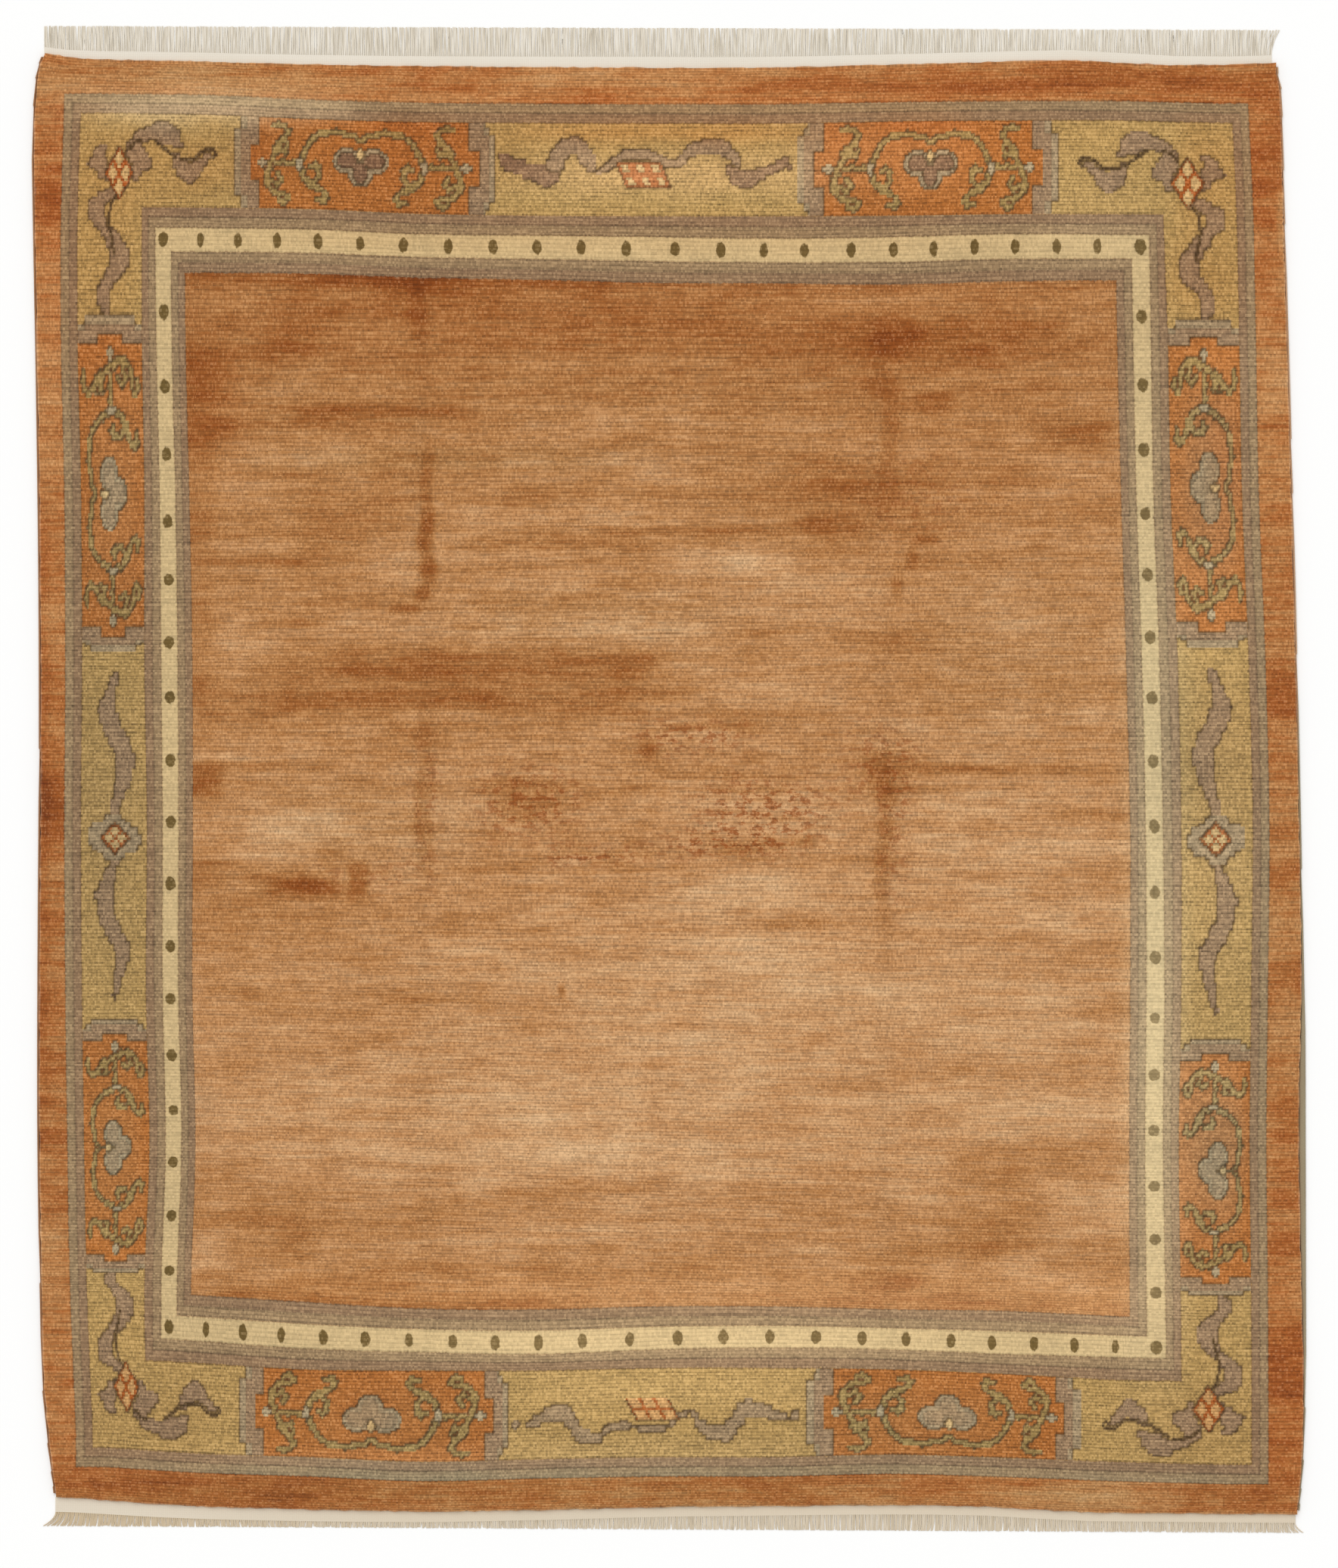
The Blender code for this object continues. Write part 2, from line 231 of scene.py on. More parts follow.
def along_lines(x):
    """y of each measured line along the rug, at every x."""
    top = stripe_lines(edge_y("top", x), x, TOP_LINES, GUARD_ALONG)
    bottom = stripe_lines(edge_y("bottom", x), x, BOTTOM_LINES, GUARD_ALONG)
    share = np.clip((x - TOP_DOTS[0] * MM) / ((TOP_DOTS[-1] - TOP_DOTS[0]) * MM), 0, 1)
    return np.array(top + dot_lines(share, LEFT_DOTS, RIGHT_DOTS) + bottom[::-1])


def between(at, marks, lines):
    """Places between the measured lines, in the same shares as between the plan's marks."""
    index = np.clip(np.searchsorted(marks, at) - 1, 0, len(marks) - 2)
    t = (at - marks[index]) / (marks[index + 1] - marks[index])
    column = np.arange(len(at))
    return lines[index, column] * (1 - t) + lines[index + 1, column] * t


def lay(knots, rows):
    """Where places of the plan lie on the floor, in metres."""
    middle = np.zeros(1)
    y = np.interp(rows, ROW_MARKS, along_lines(middle)[:, 0])
    for _ in range(3):
        x = between(knots, KNOT_MARKS, across_lines(y))
        y = between(rows, ROW_MARKS, along_lines(x))
    return x, y


corner_x, corner_y = lay(np.array([0.0, KNOTS]), np.array([0.0, ROWS]))
print("top left and bottom right corners:", corner_x.round(3), corner_y.round(3))

# %% [markdown]
# ## The ornaments, knot by knot
# A weaver reads ornaments from a chart, one square a knot. Here the chart is worked out from pen strokes:
# each ornament is a few strokes, blobs and lozenges placed on its panel, and a knot takes the yarn of the
# last shape that covers its middle. The same drawing serves every panel of its kind, turned and stretched
# to fit, as a weaver would reuse it. Curves tied this way get the small steps that real knots have.

# %% Yarns and pens
OCHRE, ORANGE, MAUVE, GREY, DARK, OLIVE, CREAM, RED, HEART, PALE, LILAC, PEACH = range(12)
PANEL_DEPTH = 120.0


def stroke(a, b, *points):
    """Distance outside a pen stroke through points of place along, place in depth and half width."""
    best = np.full(a.shape, 1e3)
    for (a0, b0, w0), (a1, b1, w1) in zip(points, points[1:]):
        run, rise = a1 - a0, b1 - b0
        t = np.clip(((a - a0) * run + (b - b0) * rise) / (run * run + rise * rise), 0, 1)
        away = np.hypot(a - a0 - t * run, b - b0 - t * rise) - (w0 + t * (w1 - w0))
        best = np.minimum(best, away)
    return best


def blob(a, b, middle, radii):
    """Distance outside an oval."""
    share = np.hypot((a - middle[0]) / radii[0], (b - middle[1]) / radii[1])
    return (share - 1) * min(radii)


LOZENGE_SLOPE = 0.8


def lozenge(a, b, middle, halves):
    """Distance outside an upright diamond."""
    share = np.abs(a - middle[0]) / halves[0] + np.abs(b - middle[1]) / halves[1]
    return (share - 1) * min(halves) * LOZENGE_SLOPE


def tie(yarn, away, colour):
    """Knots a shape into the chart."""
    yarn[away < 0] = colour


def stepped(value, size):
    """Rounds a place to the middle of a step, for shapes that are drawn in steps."""
    return (np.floor(value / size) + 0.5) * size


# %% [markdown]
# ## Four ornaments
# The orange panels hold a three-lobed blossom on a vine that ends in double scrolls. The ochre panels
# hold a cloud ribbon: with a leaning window frame at the top and bottom, with a small four-lobed flower
# at the sides, and bent round a tall window lozenge in the corners.


# %% Blossom and vine
VINE_SWELL = 1.0
LEAF_DEPTH = 1.9
LEAF_STEP = 2.3


def draw_blossom(a, b, yarn, heart):
    """A blossom that faces the field, a vine to both sides of it, and a double scroll at each end."""
    side = np.abs(a)
    vine = stroke(side, b, (1, 29, 2.0), (8, 20, 2.6), (30, 17, 3.0), (52, 18, 3.2), (66, 27, 3.0),
                  (74, 42, 2.8), (82, 59, 2.8))
    curl = stroke(side, b, (80, 66, 2.8), (76, 79, 2.8), (66, 85, 3.0), (57, 78, 2.8), (55, 67, 2.6),
                  (61, 60, 2.6), (67, 65, 2.2))
    hook = stroke(side, b, (70, 87, 2.4), (59, 91, 2.8), (50, 96, 3.0), (46, 103, 3.0), (52, 110, 2.8),
                  (60, 106, 2.4))
    stem = stroke(side, b, (82, 60, 3.0), (122, 59, 3.0))
    scroll_in = stroke(side, b, (121, 60, 2.8), (127, 72, 3.2), (127, 88, 3.4), (118, 98, 3.6),
                       (104, 101, 3.4), (97, 104, 3.2), (100, 111, 3.0), (111, 111, 2.6))
    hook_in = stroke(side, b, (122, 84, 2.4), (113, 88, 2.8), (107, 80, 2.8), (112, 73, 2.4))
    scroll_out = stroke(side, b, (121, 59, 2.8), (116, 46, 3.4), (112, 36, 3.6), (102, 28, 3.6),
                        (97, 16, 3.4), (105, 8, 3.0), (117, 11, 2.6))
    hook_out = stroke(side, b, (114, 40, 2.2), (103, 46, 2.4), (98, 38, 2.2))
    leaves = np.sin(side / LEAF_STEP) * np.sin(b / LEAF_STEP)
    for shape in (vine, stem, curl, hook, scroll_in, scroll_out, hook_in, hook_out):
        tie(yarn, shape - VINE_SWELL + LEAF_DEPTH * leaves, OLIVE)
    tie(yarn, lozenge(side, b, (134, 60), (9, 8)), PALE)
    tie(yarn, stroke(side, b, (82, 56, 4.5), (82, 65, 4)), PALE)
    for middle, radii in (((-18, 54), (19, 17)), ((17, 54), (20, 17)), ((-1, 68), (17, 20))):
        tie(yarn, blob(a, b, middle, radii), GREY)
    for middle, radii in (((-18, 54), (13, 11)), ((18, 54), (14, 11)), ((-1, 69), (10, 14))):
        tie(yarn, blob(a, b, middle, radii), heart)
    tie(yarn, lozenge(a, b, (0, 45), (6, 11)), CREAM)


# %% Cloud ribbons with a leaning window frame
FRAME_HALVES = (27, 16.5)
PANES = (3, 2)

# How far the frame leans, its middle, the half widths of its ribs, and the wool of its panes
TOP_WINDOW = (0.4, (-6, 66), (5.0, 2.5), CREAM)
BOTTOM_WINDOW = (-0.5, (-5, 65), (1.9, 2.0), PEACH)


def draw_window_frame(a, b, yarn, lean, middle, ribs, glass):
    """Three windows by two in a frame that leans along the panel, drawn over the ribbon."""
    along = a - middle[0] - lean * (b - middle[1])
    deep = b - middle[1]
    inside = (np.abs(along) < FRAME_HALVES[0]) & (np.abs(deep) < FRAME_HALVES[1])
    yarn[inside] = RED
    for index in np.ndindex(PANES):
        pane = inside.copy()
        for value, half, count, number, rib in zip((along, deep), FRAME_HALVES, PANES, index, ribs):
            size = 2 * half / count
            pane &= np.abs(value + half - (number + 0.5) * size) < size / 2 - rib
        yarn[pane] = glass


def draw_ribbon_top(a, b, yarn):
    """The ribbon of the top panel, above its window frame."""
    a = a + 6.0
    s, t = stepped(a, 4.0), stepped(b, 4.0)
    dark = stroke(s, t, (-180, 45, 7), (-172, 56, 9), (-154, 60, 10), (-136, 64, 12), (-122, 68, 15),
                  (-114, 57, 12))
    left = stroke(s, t, (-112, 54, 12), (-108, 42, 11), (-98, 31, 11), (-86, 27, 10), (-76, 36, 11),
                  (-68, 48, 10), (-66, 58, 6))
    cord = stroke(a, b, (-66, 60, 2.2), (-56, 63, 3.0), (-44, 57, 5.0), (-34, 49, 6.0))
    middle = stroke(s, t, (-32, 50, 4), (-22, 41, 8), (-4, 39, 9), (14, 44, 7), (28, 51, 4), (44, 51, 5))
    right = stroke(s, t, (44, 50, 4), (58, 35, 8), (78, 30, 10), (98, 32, 10), (112, 40, 8), (120, 50, 5))
    wing = stroke(s, t, (108, 54, 4), (112, 62, 8), (120, 70, 11), (131, 74, 12), (142, 68, 9),
                  (158, 62, 7), (174, 56, 7), (186, 50, 6), (192, 56, 4))
    tie(yarn, cord, MAUVE)
    tie(yarn, dark, HEART)
    for shape in (left, middle, right):
        tie(yarn, shape, MAUVE)
    tie(yarn, wing, HEART)


def draw_ribbon_bottom(a, b, yarn):
    """The ribbon of the bottom panel, which runs under its window frame."""
    a = a + 4.0
    s, t = stepped(a, 5.0), stepped(b, 5.0)
    left = stroke(s, t, (-168, 48, 3), (-152, 54, 7), (-130, 63, 12), (-114, 62, 11), (-104, 50, 8),
                  (-98, 38, 9), (-86, 29, 10), (-72, 28, 8), (-62, 36, 3))
    cord = stroke(a, b, (-62, 35, 4.0), (-54, 42, 5.5), (-34, 43, 6.0))
    middle = stroke(s, t, (-28, 43, 4), (0, 40, 6), (18, 43, 4), (28, 50, 3), (40, 60, 3), (52, 61, 3),
                    (58, 56, 4))
    right = stroke(s, t, (62, 46, 6), (78, 34, 10), (95, 32, 10), (105, 43, 9), (113, 58, 9),
                   (122, 66, 12), (136, 66, 11), (152, 60, 8), (168, 54, 5), (180, 52, 3))
    curls = np.minimum(blob(a, b, (-184, 47), (6, 6)), blob(a, b, (187, 57), (5, 7)))
    for shape in (cord, left, middle, right, curls):
        tie(yarn, shape, LILAC)


# %% Side ribbon with a small flower
def draw_side_ribbon(a, b, yarn):
    """A ribbon that swells outward and then inward, above a four-lobed flower and again below it."""
    s, t = stepped(a, 5.0), stepped(b, 5.0)
    upper = stroke(s, t, (-212, 64, 5), (-190, 58, 9), (-162, 49, 17), (-142, 56, 16), (-122, 74, 16),
                   (-102, 83, 17), (-76, 78, 14), (-54, 68, 10), (-34, 62, 7))
    lower = stroke(s, t, (30, 63, 6), (50, 52, 11), (76, 42, 15), (102, 48, 14), (122, 64, 13),
                   (140, 76, 14), (164, 76, 11), (188, 68, 8), (213, 62, 5))
    lobes = np.minimum(blob(s, t, (-2, 36), (20, 23)), blob(s, t, (2, 87), (20, 23)))
    lobes = np.minimum(lobes, blob(s, t, (0, 61), (32, 28)))
    tie(yarn, np.minimum(upper, lower), MAUVE)
    tie(yarn, lobes, GREY)
    tie(yarn, lozenge(a, b, (0, 62), (21, 28)), RED)
    for along, deep in ((-8.5, 0), (8.5, 0), (0, -11.5), (0, 11.5)):
        tie(yarn, lozenge(a, b, (along, 62 + deep), (7, 9.5)), CREAM)


# %% Corner ribbon round a tall lozenge
def draw_corner(p, q, yarn, glass):
    """Two ribbons from a lozenge: one along the short end, with a dark cord, and one along the side."""
    s, t = stepped(p, 4.0), stepped(q, 4.0)
    petal_out = stroke(s, t, (20, 66, 7), (28, 52, 8), (34, 44, 5))
    petal_out = np.minimum(petal_out, stroke(s, t, (28, 60, 11), (34, 76, 8), (40, 84, 4)))
    petal_in = np.minimum(blob(s, t, (76, 50), (12, 14)), blob(s, t, (84, 64), (12, 12)))
    petal_in = np.minimum(petal_in, blob(s, t, (75, 77), (8, 10)))
    arch = stroke(s, t, (66, 42, 4), (80, 31, 7), (96, 24, 9), (108, 19, 12), (116, 28, 12), (126, 40, 6))
    swell = stroke(s, t, (124, 56, 5), (130, 68, 10), (141, 77, 14), (152, 72, 11), (163, 61, 7),
                   (172, 54, 4))
    upper = stroke(s, t, (48, 102, 5), (38, 108, 7), (26, 120, 11), (24, 134, 10), (32, 148, 8),
                   (38, 158, 6))
    lower = stroke(s, t, (42, 158, 8), (50, 172, 10), (58, 190, 12), (55, 206, 11), (46, 220, 8),
                   (38, 234, 8), (35, 248, 8), (40, 258, 5))
    for shape in (petal_out, petal_in, arch, swell, upper, lower):
        tie(yarn, shape, MAUVE)
    cord = stroke(p, q, (66, 48, 1.1), (74, 38, 1.1), (86, 33, 1.1), (101, 34, 1.1), (111, 45, 1.2),
                  (121, 56, 1.2), (134, 60, 1.2), (151, 59, 1.2), (159, 52, 1.2), (168, 46, 1.2),
                  (178, 46, 1.2), (182, 52, 1.2), (177, 57, 1.1))
    side_cord = stroke(p, q, (52, 108, 1.0), (44, 120, 1.0), (42, 150, 1.1), (46, 168, 1.1), (49, 186, 1.0))
    tie(yarn, np.minimum(cord, side_cord), DARK)
    tie(yarn, lozenge(p, q, (55, 78), (19, 36)), RED)
    for across, down in ((0, -18.5), (-8.2, 0), (8.2, 0), (0, 18.5)):
        tie(yarn, lozenge(p, q, (55 + across, 78 + down), (6.4, 13.0)), glass)


# %% [markdown]
# ## Where each ornament goes
# Grey stepped bars part the panels. Each orange panel pushes a square tab into its bars, and each ochre
# panel has small ears in its corners, so the bars' edges run in steps. The bars' places differ a little
# from side to side on the real rug, and so they do in these lists.

# %% The bars between the panels, in knots and rows
TOP_BARS = (126, 258.5, 435, 569.5)
BOTTOM_BARS = (125.5, 265, 433.5, 572)
SIDE_BARS = (101.5, 215, 373.5, 477.5)

# Sizes in the pen's units
BAR_HALF = 16.5
TAB_REACH = 12.0
TAB_HALF = 24
EAR_REACH = 9.0
EAR_START = 44
EAR_TIP = 53
INNER_BAR = 9.0
BLOSSOM_HALF = 155.0
END_RIBBON_HALF = 214.0
SIDE_RIBBON_HALF = 262.0
SIDE_STRETCH = 1.3
RIGHT_RIBBON_UP = 5.0


def ground_with_bars(a, b, yarn, half, stretch, ground):
    """Fills one panel from bar to bar. Distances from the bars count more on the longer sides."""
    deep = np.abs(b - PANEL_DEPTH / 2)
    from_bar = (half - np.abs(a)) * stretch
    if ground == ORANGE:
        edge = np.where(deep < TAB_HALF, BAR_HALF - TAB_REACH, BAR_HALF)
    else:
        edge = np.where(deep > EAR_START, BAR_HALF - EAR_REACH, BAR_HALF)
        edge = np.where(deep > EAR_TIP, BAR_HALF - 1.5 * EAR_REACH, edge)
    yarn[:] = MAUVE
    yarn[from_bar > edge] = ground
    if ground == OCHRE:
        yarn[(from_bar <= edge) & (from_bar > edge - INNER_BAR)] = GREY


# %% Draw one side of the ring
def fill(chart, where, a, b, paint, *looks):
    """Lets a drawing change the yarns of some knots of the chart."""
    yarn = chart[where]
    paint(a[where], b[where], yarn, *looks)
    chart[where] = yarn


def draw_side(chart, ring, along, depth, side):
    """Two blossom panels with a ribbon panel between them, along one side of the rug."""
    bars = side["bars"]
    b = depth * (PANEL_DEPTH / (PANEL_IN - PANEL_OUT))
    strip = ring & (depth > 0) & (depth < PANEL_IN - PANEL_OUT)

    def panel(low, high, half):
        place = (along - (low + high) / 2) / ((high - low) / 2) * half
        return strip & (along > low) & (along <= high), place

    for low, high in (bars[:2], bars[2:]):
        where, a = panel(low, high, BLOSSOM_HALF)
        fill(chart, where, a, b, ground_with_bars, BLOSSOM_HALF, side["stretch"], ORANGE)
        fill(chart, where, a, b, draw_blossom, side["heart"])
    where, a = panel(bars[1], bars[2], side["half"])
    fill(chart, where, a, b, ground_with_bars, side["half"], 1.0, OCHRE)
    fill(chart, where, a + side["up"], b, side["ribbon"])
    if "window" in side:
        fill(chart, where, a, b, draw_window_frame, *side["window"])


TOP_SIDE = {"bars": TOP_BARS, "stretch": 1.0, "half": END_RIBBON_HALF, "heart": HEART, "up": 0.0,
            "ribbon": draw_ribbon_top, "window": TOP_WINDOW}
BOTTOM_SIDE = {"bars": BOTTOM_BARS, "stretch": 1.0, "half": END_RIBBON_HALF, "heart": LILAC, "up": 0.0,
               "ribbon": draw_ribbon_bottom, "window": BOTTOM_WINDOW}
LEFT_SIDE = {"bars": SIDE_BARS, "stretch": SIDE_STRETCH, "half": SIDE_RIBBON_HALF, "heart": LILAC,
             "up": 0.0, "ribbon": draw_side_ribbon}
RIGHT_SIDE = {**LEFT_SIDE, "up": RIGHT_RIBBON_UP}

# %% Draw one corner of the ring
# The pen's places at the panel's outer edge, at its inner edge and at the bar, across and along the rug
CORNER_ACROSS = (5, 86, 226)
CORNER_ALONG = (0, 124, 284)
CORNER_MIDDLES = (45, 62)
CORNER_SQUEEZE = 1.45
CORNER_EAR = 46


def corner_ground(to_end, deep, yarn):
    """Ochre wool up to the stepped bar at the end of the corner's two arms."""
    edge = np.where(deep > CORNER_EAR, BAR_HALF - EAR_REACH, BAR_HALF)
    yarn[:] = OCHRE
    yarn[to_end < edge] = GREY
    yarn[to_end < edge - INNER_BAR] = MAUVE


def draw_whole_corner(chart, ring, across, along, bars, shift, glass):
    """One corner panel, with its ribbons and its lozenge."""
    where = ring & (across <= bars[0]) & (along <= bars[1])
    p = np.interp(across, (PANEL_OUT, PANEL_IN, bars[0]), CORNER_ACROSS)
    q = np.interp(along, (PANEL_OUT, PANEL_IN, bars[1]), CORNER_ALONG)
    in_end_arm = across > PANEL_IN
    to_end = np.where(in_end_arm, CORNER_ACROSS[2] - p, CORNER_ALONG[2] - q)
    from_middles = np.abs(p - CORNER_MIDDLES[0]) * CORNER_SQUEEZE, np.abs(q - CORNER_MIDDLES[1])
    deep = np.where(in_end_arm, from_middles[1], from_middles[0])
    fill(chart, where, to_end, deep, corner_ground)
    bar = where & (chart != OCHRE)
    bar_yarn = chart[bar]
    fill(chart, where, p - shift[0], q - shift[1], draw_corner, glass)
    chart[bar] = bar_yarn


# %% Work out the chart
def make_chart():
    """The yarn of every knot in the ring of panels, and OCHRE elsewhere, as rows of knots."""
    row, knot = np.mgrid[0:ROWS, 0:KNOTS] + 0.5
    from_right, from_low = KNOTS - knot, ROWS - row
    chart = np.zeros((ROWS, KNOTS), int)
    edge = np.minimum(np.minimum(knot, from_right), np.minimum(row, from_low))
    ring = (edge > PANEL_OUT) & (edge < PANEL_IN)
    draw_side(chart, ring, knot, row - PANEL_OUT, TOP_SIDE)
    draw_side(chart, ring, knot, from_low - PANEL_OUT, BOTTOM_SIDE)
    draw_side(chart, ring, row, knot - PANEL_OUT, LEFT_SIDE)
    draw_side(chart, ring, row, from_right - PANEL_OUT, RIGHT_SIDE)
    high_bar, low_bar = SIDE_BARS[0], ROWS - SIDE_BARS[3]
    corners = ((knot, row, (TOP_BARS[0], high_bar), (2, 1), CREAM),
               (from_right, row, (KNOTS - TOP_BARS[3], high_bar), (3, 4.5), CREAM),
               (knot, from_low, (BOTTOM_BARS[0], low_bar), (2, 8), PEACH),
               (from_right, from_low, (KNOTS - BOTTOM_BARS[3], low_bar), (0, 3.5), PEACH))
    for corner in corners:
        draw_whole_corner(chart, ring, *corner)
    return chart, ring


CHART, RING = make_chart()
print("knots of each yarn:", np.bincount(CHART[RING], minlength=12))

# %% [markdown]
# ## Abrash
# Hand-dyed yarn changes colour from skein to skein, which leaves soft bands across a rug, called abrash.
# The fine streaks come from noise in the material. The broad ones are listed here, each as a soft patch
# with a place, a reach to both sides, and a strength that is dark below zero and light above it.
# Wear shows the same way: a few speckled places, and dark wool along the old folds, whose troughs the
# material also darkens with painted shade. All sizes are in millimetres.

# %% Bands of light and dark wool
# Columns: x, y, reach across, reach along, strength
PATCHES = np.array([
    (-574, 998, 180, 26, -0.6), (-394, 993, 600, 28, -0.3), (-496, 926, 18, 82, -0.35),
    (-753, 852, 60, 37, -0.5), (-947, 747, 90, 134, -0.45), (547, 866, 388, 45, -0.55),
    (450, 874, 52, 42, -0.7), (420, 777, 52, 18, -0.6), (-51, 874, 448, 37, -0.22),
    (-604, 729, 224, 11, -0.5), (524, 747, 37, 30, -0.4), (435, 657, 21, 105, -0.4),
    (801, 680, 67, 33, -0.4), (681, 605, 67, 45, -0.35), (293, 553, 269, 67, -0.3),
    (323, 505, 60, 18, -0.45), (24, 490, 194, 11, -0.4), (-480, 585, 14, 75, -0.35),
    (-480, 493, 15, 45, -0.8), (-475, 418, 15, 37, -0.8), (-490, 366, 16, 18, -0.7),
    (-526, 336, 33, 11, -0.6), (-551, 426, 57, 57, 0.3), (514, 475, 24, 12, -0.5),
    (480, 441, 15, 24, -0.5), (454, 381, 12, 33, -0.5), (-828, 430, 127, 9, -0.6),
    (-753, 306, 82, 9, -0.4), (-96, 374, 60, 21, -0.3), (-385, 224, 350, 35, -0.58),
    (-76, 224, 42, 32, -0.32), (-470, 152, 450, 22, -0.55), (397, 279, 97, 13, -0.5),
    (69, 105, 90, 8, -0.45), (-40, 60, 18, 24, -0.5), (-925, 3, 45, 30, -0.8), (-828, 30, 134, 8, -0.35),
    (-275, -30, 75, 39, -0.4), (-484, -30, 18, 194, -0.35), (423, -134, 18, 194, -0.35),
    (420, 0, 30, 45, -0.5), (-723, -209, 70, 22, -1.0), (-611, -194, 20, 38, -0.85),
    (-663, -149, 33, 10, -0.4), (-887, -167, 75, 8, -0.5), (-805, -194, 37, 9, -0.5),
    (-768, -97, 127, 60, 0.35), (-208, -415, 9, 16, -0.6), (-530, 750, 210, 55, -0.2),
    (853, -67, 97, 18, -0.5), (875, -463, 75, 22, -0.3), (-604, -448, 269, 45, -0.2),
    (636, -904, 90, 30, -0.45), (696, -774, 164, 13, -0.3), (636, -837, 105, 75, -0.2),
    (-783, -896, 90, 60, -0.3), (450, -986, 42, 30, -0.35), (0, -1034, 970, 21, -0.3),
    (-200, -811, 164, 10, -0.25), (-484, -799, 75, 9, -0.25), (-66, 627, 97, 30, 0.3),
    (293, 391, 97, 24, 0.35), (99, 433, 127, 37, 0.3), (-678, 642, 67, 30, 0.25),
    (173, -359, 194, 75, 0.3), (130, -228, 130, 45, 0.4), (771, -149, 142, 90, 0.25),
    (-140, -732, 112, 52, 0.3), (293, 946, 254, 7, 0.5), (99, -553, 373, 90, 0.10),
    (-499, 190, 463, 45, -0.25), (-940, 350, 50, 500, -0.25), (-780, -480, 330, 520, -0.16),
    (-626, 480, 130, 120, -0.3), (825, 880, 90, 38, 0.35), (-96, 300, 200, 35, 0.25),
    (250, -18, 470, 10, -0.35), (570, -150, 110, 60, 0.2), (600, -350, 230, 26, 0.28),
    (100, -640, 90, 240, 0.15), (750, -985, 110, 40, 0.35), (-300, 753, 240, 12, -0.35),
    (-853, 693, 60, 26, -0.45), (-650, 92, 300, 50, -0.2), (853, -789, 70, 25, -0.35),
    (430, -990, 90, 26, -0.3), (-60, 175, 130, 14, -0.4), (300, 130, 260, 9, -0.4),
    (600, 20, 240, 10, -0.35), (-500, -140, 150, 60, 0.18), (-1222, 60, 40, 260, -0.1),
    (1210, -735, 50, 36, 0.4), (830, 850, 150, 60, 0.12), (-60, 615, 400, 32, 0.18),
    (640, 390, 100, 40, 0.22), (860, 290, 90, 30, 0.18), (-660, -335, 120, 50, 0.14),
    (-40, -850, 290, 80, 0.12), (550, -560, 240, 36, 0.18), (1195, 380, 60, 110, -0.15),
    (-870, -110, 40, 40, -0.2), (340, 770, 160, 45, -0.13), (-250, 770, 150, 40, -0.12),
    (280, 310, 110, 25, -0.18), (10, -25, 180, 22, -0.15), (-600, 20, 300, 22, -0.12),
    (-660, 186, 60, 20, 0.2), (-1222, 1140, 40, 80, -0.6), (-1222, 870, 40, 240, 0.25),
    (-1222, -20, 40, 100, -0.5), (-1222, -500, 40, 350, -0.15), (-1222, -920, 40, 70, 0.15),
    (1190, 1230, 60, 170, -0.35), (1215, 1080, 14, 120, 0.5), (1195, 1000, 50, 40, -0.2),
    (1200, 930, 40, 35, -0.2), (1200, 790, 50, 110, 0.3), (1205, 160, 40, 70, -0.35),
    (1210, -150, 40, 220, -0.05), (1215, -800, 40, 200, -0.25), (1215, -1165, 60, 80, -0.62),
    (1210, -1330, 60, 80, -0.45), (-1238, -20, 16, 700, -0.25), (-900, 1388, 400, 34, 0.25),
    (-500, 1388, 120, 30, -0.35), (-120, 1388, 180, 30, 0.25), (420, 1388, 180, 30, -0.2),
    (850, 1388, 330, 30, -0.38), (-900, -1400, 330, 45, -0.38), (-250, -1410, 250, 30, -0.18),
    (250, -1410, 250, 30, -0.03), (1080, -1410, 170, 34, -0.4),
])

# Speckled places, in the same columns
SPECKLES = np.array([
    (-275, -45, 110, 75, 1.0), (-150, -150, 110, 22, 1.0), (110, -130, 150, 30, 0.9),
    (190, -60, 150, 70, 1.0), (40, 85, 130, 40, 0.9), (420, 30, 80, 90, 0.8), (-600, -190, 110, 40, 0.5),
    (480, 560, 120, 100, 0.5), (-480, -60, 30, 170, 0.6), (440, -120, 34, 140, 0.7),
])

# The field's slow change from the top to the bottom, darkest at the top, partly dye and partly painted
# light. Columns: y, strength
DYE_AND_LIGHT_SLOPE = np.array([
    (-1080, 0.0), (-926, 0.18), (-702, 0.48), (-403, 0.40), (-105, 0.28), (344, 0.22), (642, 0.06),
    (850, -0.12), (1030, -0.22),
])
